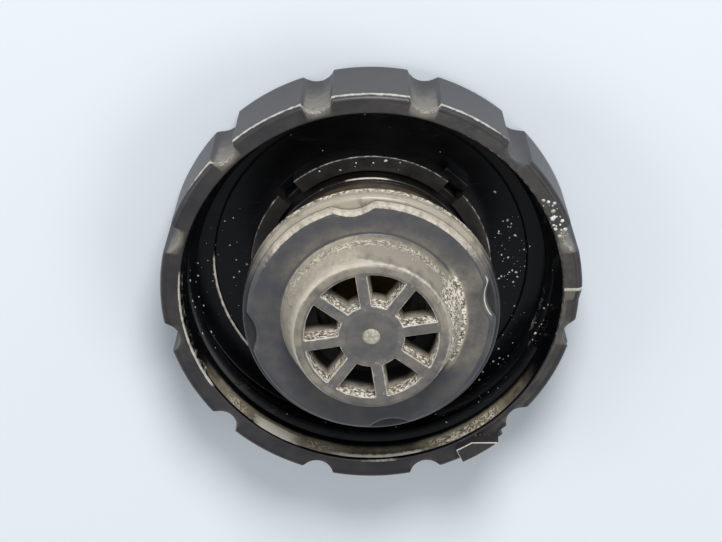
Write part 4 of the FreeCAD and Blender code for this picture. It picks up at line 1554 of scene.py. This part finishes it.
@dataclass(frozen=True)
class SealingPlug:
    """Tube, neck seal, scalloped disc, boss and grille of the plug.

    Attributes:
        finishes: The finishes.
        turn: Angle of the plug about the Z axis.
        tube_radius: Outer radius of the tube.
        tube_bore: Its bore.
        disc_level: Height of the disc's underside.
        disc_top: Height of the disc's front.
        disc_radius: Radius of the disc.
        disc_round: Rounding of its front edge.
        scallop_count: Number of scallops.
        scallop_radius: Radius of the scallops.
        scallop_depth: Their depth.
        boss_foot: Radius of the boss at the disc.
        boss_top: Radius of the boss at the grille.
        front: Height of the grille's front.
        grille_depth: Thickness of the grille.
        hub_radius: Radius of the grille's hub.
        window_radius: Outer radius of the windows.
        spoke_width: Width of the spokes.
        window_count: Number of windows.
        tile_inner: Inner radius of one window's tile.
        tile_outer: Outer radius of one window's tile.
        tile_middle: Radius of the point inside a window that its tile is laid out from.
        snap_radius: Radius of the snap flange.
        snap_low: Height of its rear.
        snap_high: Height of its front.
        bead_rise: How far the bead stands out.
        bead_low: Height of its rear.
        bead_high: Height of its front.
        flange_radius: Radius of the flange behind the seal.
        flange_level: Height of that flange's rear.
        seal_radius: Radius of the seal.
        seal_level: Height of its rear.
        vent_half_width: Half the width of a vent.
        vent_low: Height of the vents' rear.
        vent_high: Height of their front.
    """

    finishes: Finishes
    turn: float = 8.4
    tube_radius: float = 16.9
    tube_bore: float = 15.2
    disc_level: float = 26.0
    disc_top: float = 27.3
    disc_radius: float = 20.5
    disc_round: float = 1.1
    scallop_count: int = 4
    scallop_radius: float = 6.0
    scallop_depth: float = 1.3
    boss_foot: float = 14.9
    boss_top: float = 12.8
    front: float = 34.9
    grille_depth: float = 5.0
    hub_radius: float = 5.5
    window_radius: float = 11.0
    spoke_width: float = 1.8
    window_count: int = 8
    tile_inner: float = 4.4
    tile_outer: float = 11.5
    tile_middle: float = 8.4
    snap_radius: float = 18.2
    snap_low: float = 3.8
    snap_high: float = 5.8
    bead_rise: float = 0.6
    bead_low: float = 9.9
    bead_high: float = 10.7
    flange_radius: float = 20.2
    flange_level: float = 21.1
    seal_radius: float = 21.2
    seal_level: float = 22.3
    vent_half_width: float = 3.5
    vent_low: float = 13.7
    vent_high: float = 15.9

    def tube(self) -> bpy.types.Object:
        """Builds the tube with its snap flange, bead, vents and seal flange.

        Returns:
            The piece.
        """
        tube, bead = self.tube_radius, self.tube_radius + self.bead_rise
        profile = fillet_path([
            (10.0, self.snap_low, 0), (self.snap_radius, self.snap_low, 0.4),
            (self.snap_radius, self.snap_high, 0.3), (tube, self.snap_high, 0.1),
            (tube, self.bead_low, 0.1), (bead, self.bead_low, 0.3), (bead, self.bead_high, 0.3),
            (tube, self.bead_high, 0.1), *((tube, level, 0) for level in (11.4, 12.2, 13.2, 16.4, 18.5)),
            (tube, self.flange_level, 0.15), (self.flange_radius, self.flange_level, 0.3),
            (self.flange_radius, self.seal_level, 0.2), (tube, self.seal_level, 0),
            (tube, self.disc_level, 0), (self.tube_bore, self.disc_level, 0),
            (self.tube_bore, 5.3, 0.3), (4.0, 5.3, 0)], 4)
        mesh = MeshKit.turned("plug_tube", profile, 256, Ends.FANNED)
        made = MeshKit.link("plug_tube", mesh, self.finishes.stem)
        for number in range(2):
            self.cut_vents(made, 90.0 * number)
        MeshKit.plain(made)
        MeshKit.turn(made.data, self.turn)
        radius, phi, levels = MeshKit.polar(made.data)
        # Painted highlight along the bead's outer top edge, strongest at the top near 92 degrees.
        bead_highlight = (radius > bead - 0.25) & (levels > 10.5) & (levels < 10.8)
        MeshKit.attribute(made.data, "rub", bead_highlight * (0.3 + 0.55 * arc_weight(phi, 92, 5, 12)))
        crusty = smooth_step(10.7, 12.5, levels) * (radius > tube - 0.3)
        MeshKit.attribute(made.data, "crust", crusty * 0.36)
        made.data.set_sharp_from_angle(angle=math.radians(38))
        return made

    def cut_vents(self, made: bpy.types.Object, degrees: float) -> None:
        """Cuts a pair of opposite vents through the tube.

        Args:
            made: The tube.
            degrees: Direction of the pair.
        """
        reach, side = self.tube_radius + 5.1, self.vent_half_width
        mesh = MeshKit.block("vent_cutter", (-reach, -side, self.vent_low), (reach, side, self.vent_high))
        MeshKit.turn(mesh, degrees)
        cutter = bpy.data.objects.new("vent_cutter", mesh)
        bpy.context.scene.collection.objects.link(cutter)
        cut = made.modifiers.new("vents", "BOOLEAN")
        cut.object, cut.solver = cutter, "EXACT"
        MeshKit.plain(made)
        bpy.data.objects.remove(cutter)

    def seal(self) -> bpy.types.Object:
        """Builds the rubber ring.

        Returns:
            The piece.
        """
        profile = fillet_path([
            (self.tube_radius, self.seal_level, 0), (self.seal_radius, self.seal_level, 1.0),
            (self.seal_radius, self.disc_level, 1.0), (self.tube_radius, self.disc_level, 0)], 6)
        mesh = MeshKit.turned("neck_seal_ring", profile, 256)
        made = MeshKit.link("neck_seal_ring", mesh, self.finishes.rubber)
        _, phi, levels = MeshKit.polar(mesh)
        # A pale film on the top stretch is painted light; grains crust the rear rounding there.
        back = 1 - smooth_step(23.3, 23.9, levels)
        upper = arc_weight(phi, 90, 42, 34)
        MeshKit.attribute(mesh, "crust", 0.04 + 0.42 * upper + 0.6 * back * upper)
        return made

    def shell(self) -> bpy.types.Object:
        """Builds the disc, the boss and the chamber behind the grille.

        Returns:
            The piece.
        """
        columns = 512
        phi = np.arange(columns) * 2 * math.pi / columns
        turned = phi + math.pi / self.scallop_count
        centre = self.disc_radius - self.scallop_depth + self.scallop_radius
        reach = groove_reach(turned, self.scallop_count, centre, self.scallop_radius)
        edge = soft_min(np.full_like(phi, self.disc_radius), reach, 0.5)
        stack = RingStack(phi)
        row = stack.add

        low, top, ease = self.disc_level, self.disc_top, self.disc_round
        seen = phi + math.radians(self.turn)
        # The top stretch, where the disc's edge gets a painted highlight and a painted lit film.
        upper = arc_weight(seen, 90, 46, 32)
        nicked = arc_weight(seen, 10.5, 9, 3)
        caked = arc_weight(seen, -2, 26, 14)
        ringed = arc_weight(seen, 80, 66, 20)
        # The left stretch: residue film on the boss, with a pale painted sheen on its side.
        filmed = arc_weight(seen, 165, 60, 25)
        row(17.2, low)
        row(edge - 0.25, low)
        row(edge - 0.05, low + 0.06)
        row(edge, low + 0.2, 0.04)
        # The front rounding: painted highlight and painted lit film on the top stretch, a pale nick near 10
        # degrees.
        for number in range(1, 8):
            angle = math.pi / 2 * number / 7
            row(edge - ease * (1 - math.cos(angle)), top - ease + ease * math.sin(angle),
                1.1 * nicked * float(number == 4) + 0.66 * upper * float(0 < number < 7),
                0.34 * upper * (1 - math.sin(angle) ** 6))
        inner = edge - ease
        foot = self.boss_foot + 0.6
        for share in (0.03, 0.1, 0.3, 0.6, 0.85, 1.0):
            tint = 0.16 * ringed * float(smooth_step(0.3, 1.0, np.array(share))) + 0.15 * caked
            tint = tint + 0.7 * caked * float(share == 1.0)
            row(inner + (foot - inner) * share, top, 0.4 * upper * float(share < 0.05), 0.03 + tint)
        boss = fillet_path([
            (foot, top, 0), (self.boss_foot, top, 0.3), (self.boss_top, self.front, 1.65),
            (self.tile_outer, self.front, 0)], 7)
        # On the boss: a painted highlight on the front edge's rounding and a pale painted sheen on the left
        # side, painted shade at the foot by less film, a darker band 2 mm under the front, and real crust and
        # film elsewhere.
        for at, up in along(boss, (0.05, 0.12, 0.2, 0.3, 0.4, 0.5, 0.6, 0.7, 0.8, 0.9, 1.0), 1.5):
            side = float(smooth_step(top, top + 0.15, np.array(up)))
            over = float(smooth_step(self.front - 0.5, self.front, np.array(up)))
            ridge = math.exp(-(((up - top - 1.9) / 0.75) ** 2))
            dip = math.exp(-(((up - self.front + 2.0) / 0.7) ** 2))
            brow = float(smooth_step(self.front - 2.0, self.front - 0.6, np.array(up)))
            edge_highlight_band = brow * (1 - 0.6 * over)
            painted_foot_shade = math.exp(-(((up - top - 0.2) / 0.8) ** 2))
            cake = np.maximum(caked, 0.62 * ringed * ridge) * (1 - over)
            film_and_painted_shade = 0.2 + (0.3 - 0.14 * dip - 0.2 * painted_foot_shade) * np.maximum(filmed, ringed) * (1 - cake)
            crust = np.maximum(side, caked) * (film_and_painted_shade + 0.75 * cake) * (1 - 0.55 * brow) + 0.1 * over
            boss_highlight_arc = np.maximum(ringed, filmed)
            worn_and_painted_highlight = 0.68 * boss_highlight_arc * edge_highlight_band + 0.62 * filmed * side * (1 - over)
            row(at, up, np.maximum(worn_and_painted_highlight, 0.8 * caked * edge_highlight_band), np.minimum(crust, 1.0))
        under, lip = self.front - self.grille_depth - 0.4, 22.5
        for radius, level in ((self.tile_outer, under), (11.3, under), (11.3, 24.5), (9.0, 24.5),
                              (9.0, 21.9), (10.0, 21.9), (10.0, lip), (12.6, lip), (12.6, 16.0),
                              (15.15, 16.0), (15.15, low)):
            row(radius, level)
        mesh = stack.mesh("plug_front_shell", Ends.LOOPED)
        MeshKit.turn(mesh, self.turn)
        return MeshKit.link("plug_front_shell", mesh, self.finishes.plug, 50.0)

    def window(self) -> np.ndarray:
        """Outline of one window with rounded corners, between spokes at angles 0 and one step.

        Returns:
            Its points.
        """
        step = 2 * math.pi / self.window_count
        side = self.spoke_width / 2

        def edge_points(radius: float, count: int) -> list[tuple[float, float]]:
            """Points along an arc between the two spokes."""
            start = math.asin(side / radius)
            angles = np.linspace(start, step - start, count)
            return [(radius * math.cos(angle), radius * math.sin(angle)) for angle in angles]

        wide, narrow = 15, 7
        corners = [(*point, 0.0) for point in edge_points(self.window_radius, wide)
                   + edge_points(self.hub_radius, narrow)[::-1]]
        for number, size in ((0, 0.75), (wide - 1, 0.75), (wide, 0.45), (wide + narrow - 1, 0.45)):
            corners[number] = (*corners[number][:2], size)
        ring = corners[-2:] + corners + corners[:2]
        return np.array(fillet_path(ring, 6))[2:-2]

    @staticmethod
    def cast(outline: np.ndarray, centre: np.ndarray, angles: np.ndarray) -> np.ndarray:
        """Finds where rays from a point meet a closed outline.

        Args:
            outline: Points of the outline.
            centre: Start of the rays.
            angles: Directions of the rays.

        Returns:
            One point for each ray.
        """
        ahead = np.roll(outline, -1, axis=0)
        hits = []
        for angle in angles:
            ray = np.array((math.cos(angle), math.sin(angle)))
            start, edge = outline - centre, ahead - outline
            cross = ray[0] * edge[:, 1] - ray[1] * edge[:, 0]
            safe = np.where(np.abs(cross) < 1e-12, 1e-12, cross)
            far = (start[:, 0] * edge[:, 1] - start[:, 1] * edge[:, 0]) / safe
            along = (start[:, 0] * ray[1] - start[:, 1] * ray[0]) / safe
            good = (far > 0) & (along >= -1e-6) & (along <= 1 + 1e-6)
            hits.append(centre + ray * far[good].min())
        return np.array(hits)

    def grille(self) -> bpy.types.Object:
        """Builds one window's tile and repeats it into the whole grille.

        Returns:
            The piece.
        """
        step = 2 * math.pi / self.window_count
        points = 25
        arc = np.linspace(0, step, points)
        outer = np.stack([self.tile_outer * np.cos(arc), self.tile_outer * np.sin(arc)], axis=1)
        inner = np.stack([self.tile_inner * np.cos(arc), self.tile_inner * np.sin(arc)], axis=1)[::-1]
        border = np.concatenate([outer, inner])
        middle = np.array((math.cos(step / 2), math.sin(step / 2))) * self.tile_middle
        window = self.window()
        toward = window - middle
        angles = np.concatenate([np.arctan2(toward[:, 1], toward[:, 0]),
                                 *(np.arctan2(*(border[n] - middle)[::-1])[None]
                                   for n in (0, points - 1, points, 2 * points - 1)),
                                 np.linspace(-math.pi, math.pi, 64, endpoint=False)])
        angles = np.unique(np.round(angles, 5))
        edge = self.cast(border, middle, angles)
        hole = self.cast(window, middle, angles)
        outward = np.roll(hole, -1, axis=0) - np.roll(hole, 1, axis=0)
        outward = np.stack([outward[:, 1], -outward[:, 0]], axis=1)
        outward /= np.linalg.norm(outward, axis=1, keepdims=True)
        top, low = self.front, self.front - self.grille_depth
        soft, draft = 0.28, 0.25
        rings = [(edge, top), (edge * 0.5 + (hole + outward * soft) * 0.5, top),
                 (hole + outward * (soft + 0.06), top)]
        for number in range(5):
            lean = math.pi / 2 * number / 4
            rings.append((hole + outward * soft * (1 - math.sin(lean)), top - soft * (1 - math.cos(lean))))
        for share in (0.15, 0.4, 0.7, 0.97):
            rings.append((hole - outward * draft * share, top - soft - (self.grille_depth - soft) * share))
        rings += [(hole - outward * draft * 0.9, low), (edge, low)]
        stacked = np.stack([np.concatenate([plan, np.full((len(plan), 1), level)], axis=1)
                            for plan, level in rings])
        below = top - stacked[..., 2]
        # Crust on the window walls fades deeper down, painted shade inside the windows.
        depth = np.clip(below / 0.3, 0, 1) * (1 - 0.9 * smooth_step(2.4, 4.4, below))
        edged = np.exp(-(((top - stacked[..., 2] - 0.12) / 0.12) ** 2))
        count, columns = stacked.shape[:2]
        ids = np.arange(count * columns).reshape(count, columns)
        turned = np.roll(ids, -1, axis=1)
        faces = np.stack([ids[:-1], turned[:-1], turned[1:], ids[1:]], axis=-1).reshape(-1, 4).tolist()
        mesh = bpy.data.meshes.new("grille_tile")
        mesh.from_pydata((stacked.reshape(-1, 3) * MM).tolist(), [], faces)
        MeshKit.attribute(mesh, "crust", np.maximum(depth, 0.14 * (below < 0.2)).reshape(-1))
        MeshKit.attribute(mesh, "rub", (0.8 * edged).reshape(-1))
        made = MeshKit.link("grille_windows", mesh, self.finishes.grille)
        RoundRepeat.apply(made, self.finishes.grille, Count=self.window_count,
                          First_Angle=math.radians(self.turn), Weld=0.004 * MM)
        made.data.set_sharp_from_angle(angle=math.radians(50))
        return made

    def hub(self) -> bpy.types.Object:
        """Builds the hub's core with the gate nub on its front.

        Returns:
            The piece.
        """
        top, low = self.front, self.front - self.grille_depth
        profile = fillet_path([
            (1.0, low, 0), (self.tile_inner, low, 0), (self.tile_inner, top, 0), (1.4, top, 0.2),
            (1.15, top + 0.35, 0.25), (0.3, top + 0.5, 0)], 4)
        mesh = MeshKit.turned("grille_hub", profile, 96, Ends.FANNED)
        radius, _, _ = MeshKit.polar(mesh)
        MeshKit.attribute(mesh, "crust", np.where(radius < 1.45, 0.62, 0.1))
        MeshKit.attribute(mesh, "rub", 0.45 * (radius < 1.4))
        return MeshKit.link("grille_hub", mesh, self.finishes.grille, 60.0)

    def crumbs(self) -> bpy.types.Object:
        """Strews crusted grains over the boss's side.

        Returns:
            The piece.
        """
        low, high = self.disc_top, self.front
        lean = (self.boss_foot - self.boss_top) / (high - low)
        rises = np.linspace(low + 0.1, high - 1.0, 12)
        profile = [(self.boss_foot - lean * (level - low), level) for level in rises.tolist()]
        mesh = MeshKit.turned("crumb_host", profile, 128, Ends.OPEN)
        _, phi, levels = MeshKit.polar(mesh)
        lower = np.exp(-(((levels - low - 1.9) / 0.8) ** 2))
        patches = arc_weight(phi, -2, 26, 14) + 0.6 * arc_weight(phi, 80, 66, 20) * lower
        patches = (patches + 0.03) * smooth_step(low + 0.3, low + 0.8, levels)
        patches *= 1 - smooth_step(high - 1.3, high - 0.9, levels)
        MeshKit.attribute(mesh, "dust", patches)
        made = MeshKit.link("boss_crumbs", mesh, self.finishes.crumbs)
        return CrumbScatter.apply(made, self.finishes.crumbs, Density=5.0e6, Smallest=0.07 * MM,
                                  Largest=0.26 * MM, Flatness=0.6, Seed=4)

    def build(self) -> list[bpy.types.Object]:
        """Builds every piece of the plug and lets it ride on its body.

        Returns:
            The pieces.
        """
        tube, seal, shell = self.tube(), self.seal(), self.shell()
        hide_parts("plug_body")
        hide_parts("neck_seal")
        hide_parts("plug_front")
        made = [tube, seal, shell, self.grille(), self.hub(), self.crumbs()]
        for piece in made:
            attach(piece, Body.PLUG.value)
        return made


@dataclass(frozen=True)
class ValveParts:
    """Dresses the pieces of the two valves, which keep the solids' own shapes.

    Attributes:
        finishes: The finishes.
        nodes: The frame's nodes by name.
    """

    finishes: Finishes
    nodes: dict[str, bpy.types.Object]

    def build(self) -> list[bpy.types.Object]:
        """Gives each valve piece its finish.

        Returns:
            The pieces.
        """
        dressing = {
            "spring_cup": self.finishes.steel,
            "pressure_plate": self.finishes.plug,
            "pressure_seal": self.finishes.rubber,
            "vacuum_seal": self.finishes.rubber,
            "vacuum_stem": self.finishes.brass,
            "vacuum_clip": self.finishes.steel,
            "pressure_spring": self.finishes.steel,
            "vacuum_spring": self.finishes.steel,
        }
        for name, material in dressing.items():
            mesh = self.nodes[name].data
            mesh.materials.clear()
            mesh.materials.append(material)
        return [self.nodes[name] for name in dressing]


# The studio


@dataclass(frozen=True)
class Studio:
    """Floor, lamps, world and camera.

    Attributes:
        tilt: Angle between the camera's line of sight and the cap's axis, in degrees.
        roll: Small roll of the camera, in radians.
        distance: Distance from the rim's middle in millimetres.
        shift_right: Offset of the camera along its right, in millimetres.
        shift_up: Offset of the camera along its up, in millimetres.
        focal: Focal length in pixels of the photograph.
        picture_width: Width of the photograph in pixels.
        rim_level: Height of the rim, which the camera's figures are measured from.
    """

    tilt: float = 25.07
    roll: float = -0.0028
    distance: float = 1309.6
    shift_right: float = -1.683
    shift_up: float = 2.939
    focal: float = 7928.0
    picture_width: float = 722.0
    rim_level: float = 16.5
    lamps: tuple[tuple[str, tuple[float, float, float], float, float], ...] = field(default=(
        ("key_lamp", (0.08, 0.85, 0.76), 0.42, 10.0),
        ("fill_lamp", (0.75, -0.15, 0.95), 0.7, 2.6),
        ("side_lamp", (-0.95, 0.15, 0.7), 0.6, 2.4),
    ))

    def floor(self) -> bpy.types.Object:
        """Builds the pale floor.

        Returns:
            The floor.
        """
        size = 3.0
        mesh = bpy.data.meshes.new("floor")
        corners = [(-size, -size), (size, -size), (size, size), (-size, size)]
        mesh.from_pydata([(x, y, -0.00004) for x, y in corners], [], [[0, 1, 2, 3]])
        material = bpy.data.materials.new("pale_floor")
        material.use_nodes = True
        writer = NodeWriter(material.node_tree)
        place = writer.add("ShaderNodeTexCoord").outputs["Object"]
        tone = writer.mix_color(writer.noise(place, 6.0), rgb(226, 233, 240), rgb(232, 238, 243))
        shader = material.node_tree.nodes["Principled BSDF"]
        material.node_tree.links.new(tone, shader.inputs["Base Color"])
        shader.inputs["Roughness"].default_value = 0.7
        mesh.materials.append(material)
        made = bpy.data.objects.new("floor", mesh)
        bpy.context.scene.collection.objects.link(made)
        return made

    def light(self) -> None:
        """Adds the soft lamps and the world's plain light."""
        for name, place, size, power in self.lamps:
            lamp = bpy.data.lights.new(name, "AREA")
            lamp.shape, lamp.size, lamp.energy = "DISK", size, power
            made = bpy.data.objects.new(name, lamp)
            made.location = place
            aim = Vector((0.0, 0.0, 0.015)) - Vector(place)
            made.rotation_euler = aim.to_track_quat("-Z", "Y").to_euler()
            bpy.context.scene.collection.objects.link(made)
        world = bpy.data.worlds.new("studio")
        world.use_nodes = True
        background = world.node_tree.nodes["Background"]
        background.inputs["Color"].default_value = (0.9, 0.95, 1.0, 1.0)
        background.inputs["Strength"].default_value = 0.36
        bpy.context.scene.world = world

    def camera(self) -> bpy.types.Object:
        """Places the camera as the photograph's was.

        Returns:
            The camera.
        """
        lean = math.radians(self.tilt)
        back = Vector((0.0, math.sin(lean), math.cos(lean)))
        right0, up0 = Vector((1.0, 0.0, 0.0)), Vector((0.0, math.cos(lean), -math.sin(lean)))
        right = right0 * math.cos(self.roll) + up0 * math.sin(self.roll)
        up = up0 * math.cos(self.roll) - right0 * math.sin(self.roll)
        data = bpy.data.cameras.new("camera")
        data.sensor_width = 36.0
        data.lens = self.focal / self.picture_width * data.sensor_width
        data.clip_start, data.clip_end = 0.05, 20.0
        made = bpy.data.objects.new("camera", data)
        place = back * self.distance + right * self.shift_right + up * self.shift_up
        place += Vector((0.0, 0.0, self.rim_level))
        made.matrix_world = Matrix.Translation(place * MM) @ Matrix((right, up, back)).transposed().to_4x4()
        bpy.context.scene.collection.objects.link(made)
        bpy.context.scene.camera = made
        return made

    def build(self) -> None:
        """Builds the whole studio."""
        self.floor()
        self.light()
        self.camera()
        bpy.context.scene.view_settings.view_transform = "Standard"


def main() -> None:
    """Builds the studio, the cap, the plug and the valves."""
    logging.basicConfig(level=logging.INFO, format="%(message)s")
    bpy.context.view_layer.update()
    finishes = Finishes()
    Studio().build()
    for group in (CapMoulding(finishes), SealingPlug(finishes), ValveParts(finishes, frame["nodes"])):
        for piece in group.build():
            LOG.info("%s: %d faces", piece.name, len(piece.data.polygons))


if __name__ == "__main__":
    main()
